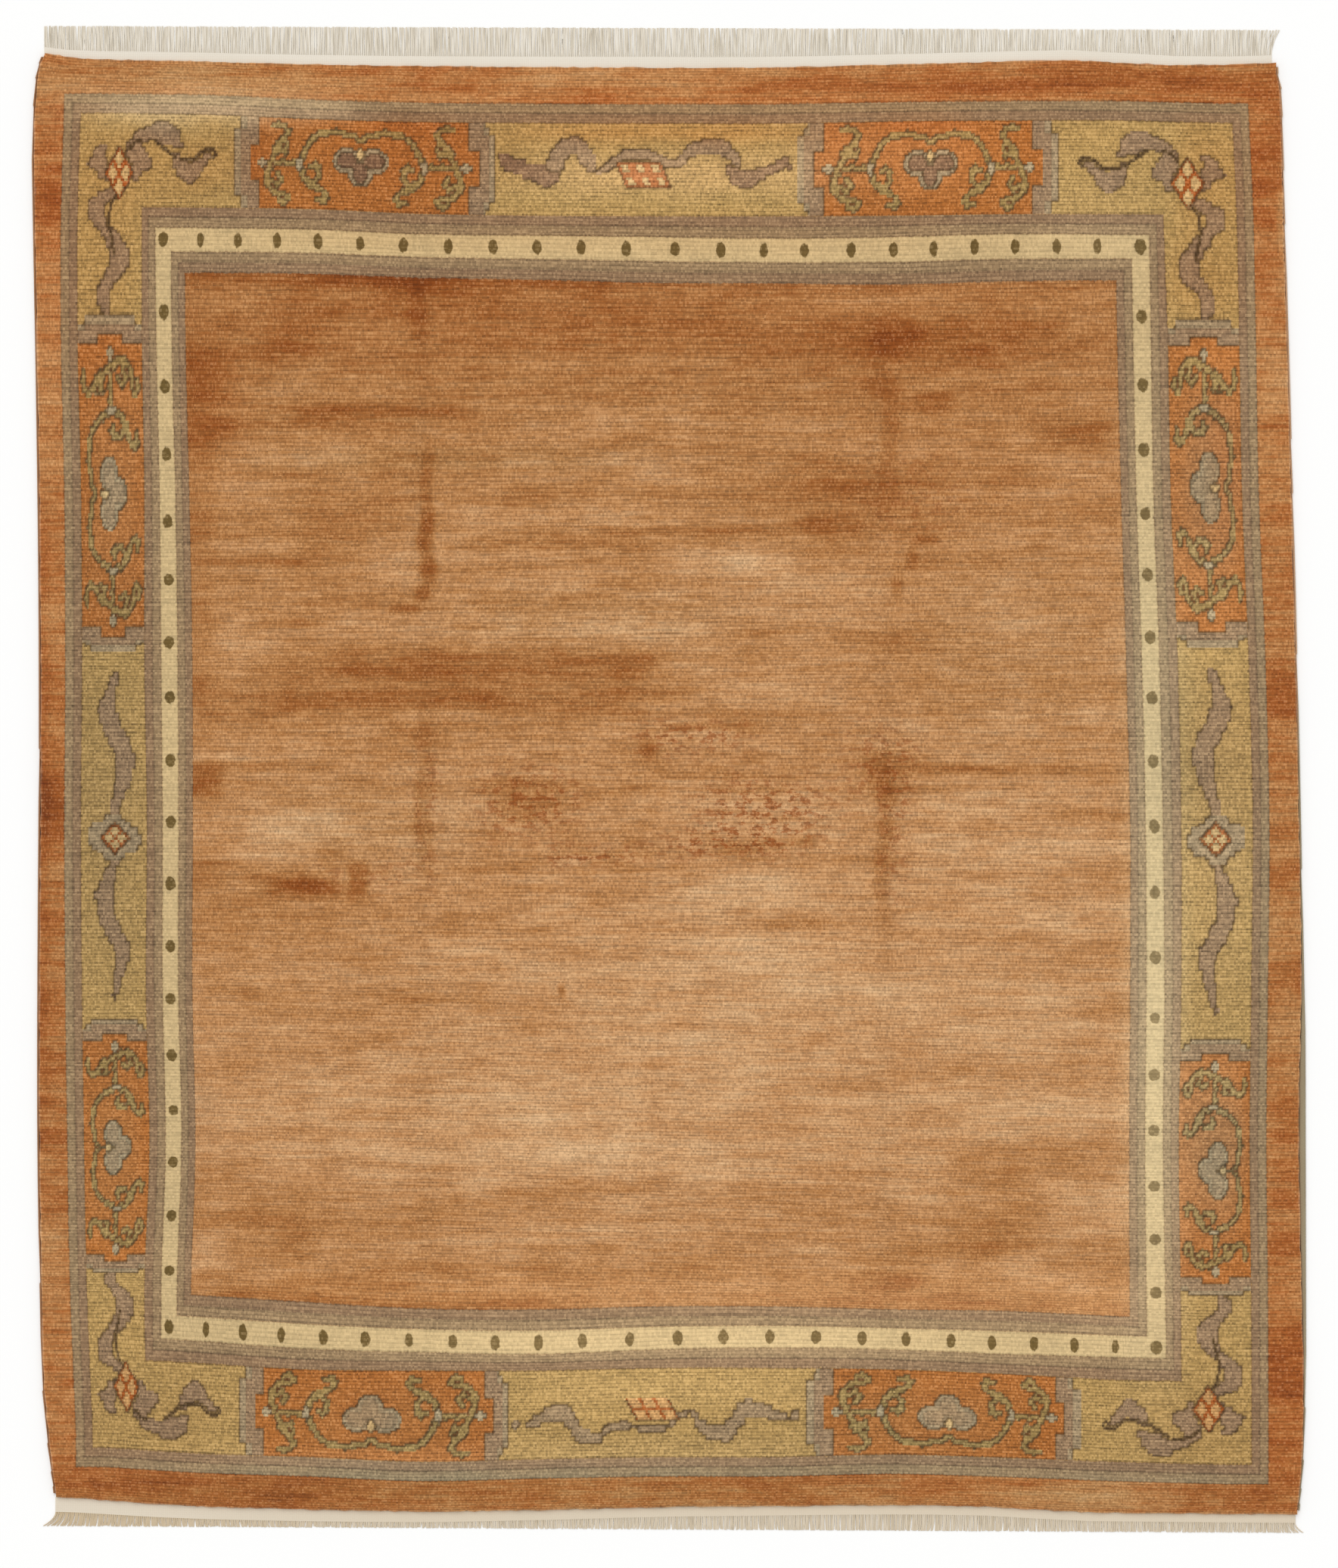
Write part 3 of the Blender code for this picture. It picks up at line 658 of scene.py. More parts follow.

# How the colours have faded, with painted light and shade in part of the lightness column. Columns:
# x, y, reach across, reach along, lightness, paleness, warmth
WEAR_AND_PAINTED_LIGHT = np.array([
    (-1095, -115, 70, 400, -0.18, 0.05, 0.0), (-1095, 580, 60, 230, -0.03, 0.06, -0.3),
    (-1095, -740, 60, 190, 0.0, 0.04, -0.5), (-1060, 1240, 140, 140, -0.04, 0.0, 0.75),
    (-1040, -1270, 160, 120, -0.09, 0.0, 0.1), (1070, -1290, 150, 120, -0.07, 0.0, 0.2),
    (1085, 1190, 90, 140, 0.0, 0.0, 0.85), (1075, 580, 60, 230, -0.10, 0.16, -0.2),
    (1080, -720, 60, 180, -0.12, 0.18, -0.5), (0, 1280, 310, 25, 0.04, 0.05, 1.3),
    (0, 1195, 310, 45, 0.18, 0.20, 0.4), (430, 1230, 200, 80, 0.20, 0.06, 0.15),
    (-470, 1230, 200, 80, -0.04, 0.0, 0.5), (0, -1205, 330, 50, 0.20, 0.06, 0.0),
    (0, -1320, 330, 35, -0.04, 0.05, 0.0), (500, -1270, 200, 90, -0.02, 0.04, -0.5),
    (-560, -1270, 200, 90, -0.05, 0.03, -0.4), (1090, -100, 70, 380, -0.02, 0.10, 0.0),
    (961, -200, 70, 900, 0.10, 0.16, -0.4), (961, -700, 70, 420, 0.10, 0.08, 0.0),
    (300, -1025, 700, 60, 0.18, 0.10, 0.1), (-560, -1030, 330, 55, 0.10, 0.0, 0.0),
    (0, -1118, 560, 40, 0.24, 0.08, 0.0), (-950, 1325, 220, 34, 0.20, 0.35, 0.0),
    (-680, 1322, 60, 26, 0.12, 0.20, 0.0), (-100, 1080, 850, 45, 0.0, 0.0, 0.45),
    (0, 930, 900, 110, 0.0, 0.0, 0.3), (-1000, 1395, 260, 36, 0.0, 0.0, -0.6),
    (1000, 1395, 300, 30, 0.0, 0.0, -0.3), (-400, -1340, 700, 26, 0.10, 0.05, 0.0),
    (-1150, 250, 26, 560, -0.10, 0.0, 0.0), (-500, 1295, 90, 24, 0.0, 0.0, 0.7),
    (500, 1295, 100, 24, 0.0, 0.0, 0.7), (-1150, 980, 110, 230, -0.03, 0.0, 0.65),
    (1060, 980, 90, 90, -0.04, 0.0, 0.8), (-300, -1405, 950, 45, -0.03, 0.0, -1.25),
    (950, -1415, 300, 45, -0.04, 0.0, -0.8), (-1225, -500, 45, 850, -0.04, 0.0, -0.4),
    (1210, -250, 55, 720, -0.03, 0.0, -0.5), (-440, 632, 380, 20, 0.0, 0.0, -0.5),
    (600, 620, 300, 300, 0.0, 0.0, 0.15), (1080, 820, 70, 65, 0.21, 0.0, 0.0),
    (1068, 335, 70, 130, 0.21, 0.0, 0.0), (1078, -592, 60, 50, 0.23, 0.0, 0.0),
    (1080, 10, 70, 75, -0.10, 0.0, 0.0), (860, -1060, 80, 70, 0.16, 0.05, 0.0),
    (830, 1090, 110, 100, 0.08, 0.05, 0.0), (1000, 40, 60, 170, -0.10, 0.0, 0.0),
    (-1080, 345, 60, 110, -0.08, 0.0, 0.0), (60, 1325, 620, 24, 0.04, 0.0, 0.5),
    (-870, 1215, 90, 70, -0.10, 0.0, 0.8), (-900, 720, 70, 130, 0.0, 0.0, 0.35),
    (-600, -90, 200, 90, 0.0, 0.0, -0.3), (-140, 320, 270, 60, 0.0, 0.0, -0.25),
    (700, 1205, 170, 80, 0.13, 0.0, 0.0), (-1095, -900, 70, 150, 0.05, 0.0, 0.0),
    (1090, -940, 70, 90, 0.07, 0.0, 0.0), (-640, 1280, 80, 70, 0.08, 0.0, 0.0),
    (-30, 1130, 300, 30, 0.10, 0.0, 0.0), (700, -1150, 210, 90, 0.08, 0.0, 0.0),
    (-915, -640, 25, 60, -0.10, 0.0, 0.0), (190, 1290, 800, 90, 0.0, 0.0, 0.3),
    (1097, 600, 35, 130, 0.0, 0.0, 0.6), (1150, 60, 100, 150, 0.0, 0.0, 0.25),
    (-1035, 1310, 110, 45, 0.0, 0.0, -0.6), (700, 290, 220, 210, 0.0, 0.0, -0.2),
    (-600, -1255, 50, 40, 0.0, 0.0, 0.6), (545, -1255, 50, 40, 0.05, 0.0, 0.6),
    (1070, -195, 60, 95, 0.10, 0.0, 0.0), (900, 1250, 45, 40, 0.11, 0.0, 0.0),
    (-1110, 600, 50, 110, 0.05, 0.0, 0.0),
])

# %% Soft patches with uneven edges
PATCH_SLOPE = 1.2
ACROSS_POWER = 4
ALONG_POWER = 2.6

# The patches' edges stray by this much, in waves of these lengths: two long ones, two short ones
RAGGED = 7.0
RAGGED_WAVES = (33, 41, 13, 9)

# They stray less across, and less along where a patch reaches less far along than this
ACROSS_STRAY = 0.6
FULL_STRAY_REACH = 60


def ragged_at(x, y):
    """How far the patches' edges stray at a place, in millimetres."""
    long_x, long_y, short_x, short_y = RAGGED_WAVES
    long_wave = np.sin(x / long_x + 2.0 * np.sin(y / long_y))
    return RAGGED * (long_wave + 0.5 * np.sin(x / short_x + y / short_y))


def patches_at(patches, x, y):
    """The sum of the soft patches at each place. Their ends are steeper than their long sides."""
    x, y = x / MM, y / MM
    ragged = ragged_at(x, y)
    total = np.zeros_like(x)
    for at_x, at_y, reach_x, reach_y, strength in patches:
        across = (x + ACROSS_STRAY * ragged - at_x) / reach_x
        along = (y + ragged * min(1.0, reach_y / FULL_STRAY_REACH) - at_y) / reach_y
        total += strength * np.exp(-PATCH_SLOPE * (across ** ACROSS_POWER + np.abs(along) ** ALONG_POWER))
    return total


def tone_at(x, y, in_field):
    """How dark or light each place's yarn is, about -1 to 1; the field's slope is partly painted light."""
    return np.interp(y / MM, DYE_AND_LIGHT_SLOPE[:, 0], DYE_AND_LIGHT_SLOPE[:, 1]) * in_field + patches_at(PATCHES, x, y)


# %% [markdown]
# ## The pile as one closed mesh
# On the loom every knot is the same square, so the mesh starts as an even grid on the plan, in cells of
# four knots by four. Cells where the chart changes yarn, or where a band of dye has a sharp edge, are cut
# down to single knots, and plain cells stay large, which keeps the mesh light. Then every corner is laid
# where the measured lines say. The rim is extruded from the grid's border in steps that round the pile's
# edge over, and one face closes the underside.

# %% Creases and swell
# The long creases where the rug was folded in three, as the frame has them
CREASES = (
    {"across": -484.0, "half": 26.0, "depth": 1.6, "wobble": 7.0, "waves": 3.5, "phase": 0.4},
    {"across": 428.0, "half": 26.0, "depth": 1.3, "wobble": 8.0, "waves": 2.5, "phase": 2.1},
)
HALF_WIDTH = 1250.0
HALF_LENGTH = 1430.0
CREASE_STEEPNESS = 2.5

# Height of the slow swell in millimetres, lengths of its waves in metres, what brings their sum back to
# about 1, and the seed of their turns
SWELL = 0.35
SWELL_WAVES = (1.1, 0.7, 0.43, 0.29)
SWELL_SUM = 2.5
SWELL_SEED = 5


def crease_share(crease, x, y):
    """How deep in a crease a place lies, from 0 to 1."""
    turn = y / MM / HALF_LENGTH * math.pi * crease["waves"] + crease["phase"]
    share = (crease["across"] + crease["wobble"] * np.sin(turn) + HALF_WIDTH) / (2 * HALF_WIDTH)
    middle = edge_x("left", y) + share * (edge_x("right", y) - edge_x("left", y))
    away = np.abs(x - middle) / MM / crease["half"]
    return np.exp(-CREASE_STEEPNESS * away * away)


def slow_waves(x, y):
    """A soft uneven field between about -1 and 1, from a few crossing waves."""
    chance = random.Random(SWELL_SEED)
    total = np.zeros_like(x)
    for size in SWELL_WAVES:
        turn = chance.uniform(0, math.tau)
        lean = chance.uniform(0, math.tau)
        total += np.sin((x * math.cos(lean) + y * math.sin(lean)) / size * math.tau + turn)
    return total / SWELL_SUM


# %% Grid on the plan, cut to single knots where yarns meet
SHARP_DYE = 0.045
SPECKLE_TONE = 0.4


def sharp_cells():
    """Cells whose middle has another tone than their corners have on average."""
    row, knot = np.mgrid[0:ROWS // CELL, 0:KNOTS // CELL] * CELL

    def tone(shift_x, shift_y):
        knots, rows = (knot + shift_x).ravel().astype(float), (row + shift_y).ravel().astype(float)
        x, y = lay(knots, rows)
        return patches_at(PATCHES, x, y) + SPECKLE_TONE * patches_at(SPECKLES, x, y)

    corners = [tone(across, down) for across in (0, CELL) for down in (0, CELL)]
    bent = np.abs(tone(CELL / 2, CELL / 2) - np.mean(corners, axis=0))
    return (bent > SHARP_DYE).reshape(row.shape)


def plan_grid():
    """The plan as a grid that hangs down from its top left corner, in knots and rows."""
    bm = bmesh.new()
    bmesh.ops.create_grid(bm, x_segments=KNOTS // CELL, y_segments=ROWS // CELL, size=0.5)
    bmesh.ops.translate(bm, vec=(0.5, -0.5, 0.0), verts=bm.verts)
    bmesh.ops.scale(bm, vec=(KNOTS, ROWS, 1.0), verts=bm.verts)
    blocks = CHART.reshape(ROWS // CELL, CELL, KNOTS // CELL, CELL)
    busy = blocks.max(axis=(1, 3)) != blocks.min(axis=(1, 3))
    sharp = sharp_cells() & ~busy
    edges = set()
    for face in bm.faces:
        middle = face.calc_center_median()
        cell = int(-middle.y // CELL), int(middle.x // CELL)
        if busy[cell] or sharp[cell]:
            edges.update(face.edges)
    bmesh.ops.subdivide_edges(bm, edges=list(edges), cuts=CELL - 1, use_grid_fill=True)
    print("cells with ornament:", int(busy.sum()), "with sharp dye:", int(sharp.sum()))
    return bm


# %% Rim of the pile
PILE_HEIGHT = 11.0

# Steps down the pile's edge: how far in from the outline, and height
RIM = ((3.6, 10.7), (1.3, 9.6), (0.0, 7.0), (0.3, 2.0), (0.3, 0.0))
UNEVEN_STEPS = (2, 3)
RIM_CHANCE = 1.4
RIM_SEED = 8


def add_rim(bm, plan, ring):
    """Extrudes the border once for each step of the rim, and closes the underside."""
    border = [edge for edge in bm.edges if edge.is_boundary]
    for vert in {vert for edge in border for vert in edge.verts}:
        vert[ring] = 1
    for step in range(2, len(RIM) + 1):
        grown = bmesh.ops.extrude_edge_only(bm, edges=border)["geom"]
        border = [item for item in grown if isinstance(item, bmesh.types.BMEdge)]
        border = [edge for edge in border if edge.is_boundary]
        for vert in {vert for edge in border for vert in edge.verts}:
            vert[ring] = step
            vert[plan] = vert.co
    for face in bmesh.ops.contextual_create(bm, geom=border)["faces"]:
        face.material_index = 1


def inward_of(plan):
    """The way into the rug from each place on the border, as x and y."""
    x = (plan[:, 0] < 0.5).astype(float) - (plan[:, 0] > KNOTS - 0.5)
    y = (plan[:, 1] < 0.5 - ROWS).astype(float) - (plan[:, 1] > -0.5)
    return x, y


def round_rim(x, y, z, rings, places):
    """Moves the rim's corners to their steps, a little unevenly, as worn tufts stand."""
    chance = np.random.default_rng(RIM_SEED)
    in_x, in_y = inward_of(places)
    for step, (inset, height) in enumerate(RIM, start=1):
        here = rings == step
        uneven = np.zeros(len(x))
        if step in UNEVEN_STEPS:
            uneven = chance.uniform(-RIM_CHANCE, RIM_CHANCE, len(x))
        x[here] += (in_x * (inset + uneven) * MM)[here]
        y[here] += (in_y * (inset + uneven) * MM)[here]
        z[here] = height if step > 1 else np.minimum(z[here], height)


# %% Grooves between the yarns
CARVE_DEPTH = 0.5
HALF_GROOVE = 0.45
ONE_KNOT = 1.5
ALIKE = {GREY, LILAC, MAUVE}
WINDOW = {RED, CREAM, PEACH}


def groove(yarns):
    """Depth of the groove where yarns meet: full, half between like yarns and in windows, or none."""
    if len(yarns) < 2:
        return 0.0
    return HALF_GROOVE if yarns <= ALIKE or yarns <= WINDOW else 1.0


def note_grid(bm, plan, yarn):
    """Notes corners' places on the plan and faces' yarns. Returns the corners among single knots."""
    for vert in bm.verts:
        vert[plan] = vert.co
    for face in bm.faces:
        middle = face.calc_center_median()
        face[yarn] = CHART[min(int(-middle.y), ROWS - 1), min(int(middle.x), KNOTS - 1)]
    large = {vert for face in bm.faces if face.calc_area() > ONE_KNOT for vert in face.verts}
    return set(bm.verts) - large


# %% Lay the pile
# Painted light that makes the rim's sloping steps lighter and paler
RIM_PAINTED_LIGHT = 0.14


def finish_piece(bm, name, materials, smooth=True):
    """Turns a finished bmesh into a piece with its materials."""
    mesh = bpy.data.meshes.new(name)
    bm.to_mesh(mesh)
    bm.free()
    for material in materials:
        mesh.materials.append(material)
    for polygon in mesh.polygons:
        polygon.use_smooth = smooth
    piece = bpy.data.objects.new(name, mesh)
    bpy.context.scene.collection.objects.link(piece)
    return piece


def in_field_at(knots, rows):
    """1 inside the stripes and 0 on them."""
    edge = np.minimum(np.minimum(knots, KNOTS - knots), np.minimum(rows, ROWS - rows))
    return (edge > FIELD - 1).astype(float)


def set_points(mesh, name, values):
    """Gives the mesh one value a corner point, which the materials read by name."""
    layer = mesh.attributes.new(name, "FLOAT", "POINT")
    layer.data.foreach_set("value", values.astype(np.float32))


def set_loom_map(bm, plan):
    """Gives the mesh its plan as a UV map."""
    loom = bm.loops.layers.uv.new("loom")
    for face in bm.faces:
        for loop in face.loops:
            across, down = loop.vert[plan][0], loop.vert[plan][1]
            loop[loom].uv = (across / KNOTS, 1 + down / ROWS)


def make_pile(materials):
    """The knotted cloth, closed, with its plan as a UV map and its yarns on the faces."""
    bm = plan_grid()
    plan = bm.verts.layers.float_vector.new("plan")
    ring = bm.verts.layers.int.new("ring")
    yarn = bm.faces.layers.float.new("yarn")
    single = note_grid(bm, plan, yarn)
    add_rim(bm, plan, ring)
    yarns_at = [{face[yarn] for face in vert.link_faces} if vert in single else () for vert in bm.verts]
    carved = np.array([groove(yarns) for yarns in yarns_at])

    places = np.array([vert[plan][:] for vert in bm.verts])
    rings = np.array([vert[ring] for vert in bm.verts])
    x, y = lay(places[:, 0], -places[:, 1])
    shares = [crease_share(crease, x, y) for crease in CREASES]
    deep = sum(crease["depth"] * share for crease, share in zip(CREASES, shares))
    z = PILE_HEIGHT - deep + SWELL * slow_waves(x, y) - CARVE_DEPTH * carved
    round_rim(x, y, z, rings, places)
    for vert, place in zip(bm.verts, np.stack([x, y, z * MM], axis=1)):
        vert.co = place

    set_loom_map(bm, plan)
    bmesh.ops.recalc_face_normals(bm, faces=bm.faces)
    piece = finish_piece(bm, "pile_cloth_wool", materials)
    # How deep in a crease each corner lies, for painted shade along the creases
    set_points(piece.data, "crease", np.maximum(*shares))
    set_points(piece.data, "carved", carved)
    set_points(piece.data, "tone", tone_at(x, y, in_field_at(places[:, 0], -places[:, 1])))
    set_points(piece.data, "speckle", patches_at(SPECKLES, x, y))
    # Fading and wear; their lightness is partly painted light and shade
    for column, name in enumerate(("lightness", "paleness", "warmth"), start=4):
        wear_and_light = patches_at(WEAR_AND_PAINTED_LIGHT[:, [0, 1, 2, 3, column]], x, y)
        # The rim's steps also get painted light in their lightness and paleness
        set_points(piece.data, name, wear_and_light + RIM_PAINTED_LIGHT * (rings > 1) * (name != "warmth"))
    print("pile triangles:", sum(len(polygon.vertices) - 2 for polygon in piece.data.polygons))
    return piece


# %% [markdown]
# ## Helpers for materials
# A material is a small graph of nodes. These helpers add one node and wire it in one line, so that each
# material below reads like a recipe. Colours are written as they look on a screen, from 0 to 255.


# %% Node helpers
def colour(red, green, blue):
    """A screen colour turned into the light values that a shader wants."""
    shares = [value / 255 for value in (red, green, blue)]
    lights = [share / 12.92 if share <= 0.04045 else ((share + 0.055) / 1.055) ** 2.4 for share in shares]
    return (*lights, 1.0)


def plug(tree, socket, value):
    """Links a value that comes from a node, and sets one that is a plain number or colour."""
    if isinstance(value, bpy.types.NodeSocket):
        tree.links.new(value, socket)
    else:
        socket.default_value = value


def node(tree, kind, inputs=(), **settings):
    """Adds a node, sets it up and fills its inputs, given as pairs of a name or number and a value."""
    new = tree.nodes.new("ShaderNode" + kind)
    for name, value in settings.items():
        setattr(new, name, value)
    for key, value in inputs:
        plug(tree, new.inputs[key], value)
    return new


def object_place(tree):
    """The place on the rug in metres."""
    return node(tree, "TexCoord").outputs["Object"]


def axes_of(tree, place):
    """x and y of a place."""
    axes = node(tree, "SeparateXYZ", [(0, place)]).outputs
    return axes[0], axes[1]


# %% Arithmetic
def maths(tree, operation, *values):
    """One step of arithmetic."""
    return node(tree, "Math", list(enumerate(values)), operation=operation).outputs[0]


def plus(tree, first, second):
    """A sum."""
    return maths(tree, "ADD", first, second)


def minus(tree, first, second):
    """A difference."""
    return maths(tree, "SUBTRACT", first, second)


def times(tree, first, second):
    """A product."""
    return maths(tree, "MULTIPLY", first, second)


def times_plus(tree, value, factor, base):
    """A product with something added."""
    return maths(tree, "MULTIPLY_ADD", value, factor, base)


def swing(tree, value, amount, base):
    """Adds a value that runs from 0 to 1 to a base, counted from its middle and times an amount."""
    return times_plus(tree, minus(tree, value, 0.5), amount, base)


def wave(tree, kind, turn):
    """A SINE or COSINE wave from 0 to 1."""
    return times_plus(tree, maths(tree, kind, turn), 0.5, 0.5)


def step_up(tree, value, at, soft=0.25):
    """0 below a value and 1 above it, with a soft edge."""
    pairs = [("Value", value), ("From Min", at - soft), ("From Max", at + soft)]
    return node(tree, "MapRange", pairs, interpolation_type="SMOOTHSTEP").outputs[0]


# %% Noise
def noise(tree, place, scale, detail=2.0, roughness=0.5):
    """Soft noise from 0 to 1."""
    pairs = [("Vector", place), ("Scale", scale), ("Detail", detail), ("Roughness", roughness)]
    return node(tree, "TexNoise", pairs).outputs[0]


def long_noise(tree, place, scales, detail=2.0, roughness=0.5):
    """Soft noise with its own scale on each axis, so that it comes out long and thin."""
    stretched = node(tree, "VectorMath", [(0, place), (1, (*scales, 1.0))], operation="MULTIPLY").outputs[0]
    return noise(tree, stretched, 1.0, detail, roughness)


def chance_at(tree, dimensions, value):
    """A number from 0 to 1 by chance, always the same one for the same value."""
    socket = "W" if dimensions == "1D" else "Vector"
    return node(tree, "TexWhiteNoise", [(socket, value)], noise_dimensions=dimensions).outputs[0]


# %% Colours
def mix(tree, share, first, second, blend="MIX"):
    """Two colours in one. Each is a node's colour or a plain screen colour."""
    first, second = (colour(*shade) if isinstance(shade, tuple) else shade for shade in (first, second))
    pairs = [(0, share), (6, first), (7, second)]
    return node(tree, "Mix", pairs, data_type="RGBA", blend_type=blend).outputs[2]


def ramp(tree, value, stops, interpolation="LINEAR"):
    """Turns a value from 0 to 1 into a colour, from pairs of a position and a screen colour."""
    new = node(tree, "ValToRGB", [(0, value)])
    new.color_ramp.interpolation = interpolation
    elements = new.color_ramp.elements
    while len(elements) < len(stops):
        elements.new(1.0)
    for element, (position, shade) in zip(elements, stops):
        element.position = position
        element.color = colour(*shade)
    return new.outputs[0]


# %% Groups and materials
def new_group(name, inputs, outputs):
    """An empty node group with named sockets. Returns it with its input and output nodes."""
    group = bpy.data.node_groups.new(name, "ShaderNodeTree")
    for label, kind in inputs:
        group.interface.new_socket(label, in_out="INPUT", socket_type="NodeSocket" + kind)
    for label, kind in outputs:
        group.interface.new_socket(label, in_out="OUTPUT", socket_type="NodeSocket" + kind)
    return group, group.nodes.new("NodeGroupInput"), group.nodes.new("NodeGroupOutput")


def use_group(tree, group, place):
    """Puts a group into a material at a place, and returns its outputs."""
    new = tree.nodes.new("ShaderNodeGroup")
    new.node_tree = group
    plug(tree, new.inputs["Place"], place)
    return new.outputs


def new_material(name):
    """An empty material with a shader. Returns it with its tree and its shader node."""
    material = bpy.data.materials.new(name)
    material.use_nodes = True
    tree = material.node_tree
    return material, tree, tree.nodes["Principled BSDF"]


def finish_shader(tree, shader, shade, height, relief, roughness):
    """Gives a shader its colour, its roughness and a fine relief, as the strength and depth of a bump."""
    tree.links.new(shade, shader.inputs["Base Color"])
    strength, depth = relief
    bump = node(tree, "Bump", [("Height", height), ("Strength", strength), ("Distance", depth)])
    tree.links.new(bump.outputs[0], shader.inputs["Normal"])
    shader.inputs["Roughness"].default_value = roughness


# %% [markdown]
# ## Wool, knot by knot
# Each knot is its own tuft, so each has its own shade, and a yarn keeps its shade for a run of knots. The
# rows are packed down one by one into low ridges, and painted shade darkens the fine hollows between them.
# This group works all of that out from a place on the plan, and both the pile and the underside use it.


# %% Node group: knots and rows
ROW_LINES = 0.707
ROW_WANDER = 0.9
LINE_SHARPNESS = 4.0
RUN = 11.0
RUN_SHIFT = 7.0

# What each of these adds to a knot's shade, around a middle shade, and to its height
MIDDLE_SHADE = 1.06
TUFT_SHADE, RUN_SHADE, GRAIN_SHADE, ROW_PAINTED_SHADE = 0.40, 0.12, 0.42, -0.55
TUFT_RISE, RIDGE_RISE, COLUMN_RISE = 0.5, 0.6, 0.12


def make_knots_group():
    """Shade and height of single knots, from a place counted in knots and rows."""
    results = [("Shade", "Float"), ("Height", "Float")]
    group, start, end = new_group("wool knots", [("Place", "Vector")], results)
    place = start.outputs["Place"]
    knot, row = axes_of(group, place)
    this_row = maths(group, "FLOOR", row)
    cell = node(group, "VectorMath", [(0, place)], operation="FLOOR").outputs[0]
    tuft = chance_at(group, "2D", cell)
    shift = times(group, chance_at(group, "1D", this_row), RUN_SHIFT)
    run = maths(group, "FLOOR", plus(group, maths(group, "DIVIDE", knot, RUN), shift))
    strand = node(group, "CombineXYZ", [(0, run), (1, this_row), (2, 0.0)]).outputs[0]
    grain = noise(group, place, 1.7, 1.0)

    wander = times(group, long_noise(group, place, (0.05, 0.4), 3.0), ROW_WANDER)
    turn = times(group, plus(group, times(group, row, ROW_LINES), wander), math.tau)
    ridge = wave(group, "COSINE", turn)
    hollow = maths(group, "POWER", minus(group, 1.0, ridge), LINE_SHARPNESS)
    line = times(group, hollow, long_noise(group, place, (0.03, 0.25)))
    column = maths(group, "COSINE", times(group, knot, math.tau))

    shade = swing(group, tuft, TUFT_SHADE, MIDDLE_SHADE)
    shade = swing(group, chance_at(group, "2D", strand), RUN_SHADE, shade)
    shade = swing(group, grain, GRAIN_SHADE, shade)
    # Painted shade in the hollows between the rows
    shade = times_plus(group, line, ROW_PAINTED_SHADE, shade)
    height = times_plus(group, ridge, RIDGE_RISE, times(group, tuft, TUFT_RISE))
    height = times_plus(group, column, COLUMN_RISE, height)
    group.links.new(shade, end.inputs["Shade"])
    group.links.new(height, end.inputs["Height"])
    return group


# %% Node group: streaks of dye
# Columns: waves a metre across and along, strength, detail
STREAKS = (((0.9, 9.0), 1.1, 2.0), ((2.6, 42.0), 1.0, 3.0), ((9.0, 150.0), 0.9, 2.0),
           ((5.0, 13.0), 1.0, 3.0), ((17.0, 34.0), 0.7, 3.0), ((42.0, 95.0), 0.5, 2.0))
STREAK_ROUGHNESS = 0.55


def make_streaks_group():
    """Long thin streaks along the rows, from broad to fine, around 0."""
    group, start, end = new_group("dye streaks", [("Place", "Vector")], [("Streak", "Float")])
    total = 0.0
    for scales, strength, detail in STREAKS:
        streak = long_noise(group, start.outputs["Place"], scales, detail, STREAK_ROUGHNESS)
        total = swing(group, streak, strength, total)
    group.links.new(total, end.inputs["Streak"])
    return group


# %% [markdown]
# ## Stripes and dots
# The stripes follow the plan, so their edges only need the distance from the nearest side, counted in
# knots. Comparing that distance with the stripes' places gives one mask a stripe, which stays sharp
# however close the view is. A little noise on the distance makes the edges as uneven as knots are.


# %% Node group: where each stripe lies
GUARDS = ((BAND, PANEL_OUT), (PANEL_IN, CREAM_OUT), (CREAM_IN, FIELD))
SECOND_TONES = ((BAND, BAND + 4), (CREAM_OUT - 4, CREAM_OUT), (CREAM_IN, CREAM_IN + 4))
EDGE_NOISE = 1.3
LINE_GAP = 4.0
LINE_WIDTH = 0.45
DOT_SIZE = 2.5
DOT_NOISE = 1.6
DOT_DRIFT = 1.2


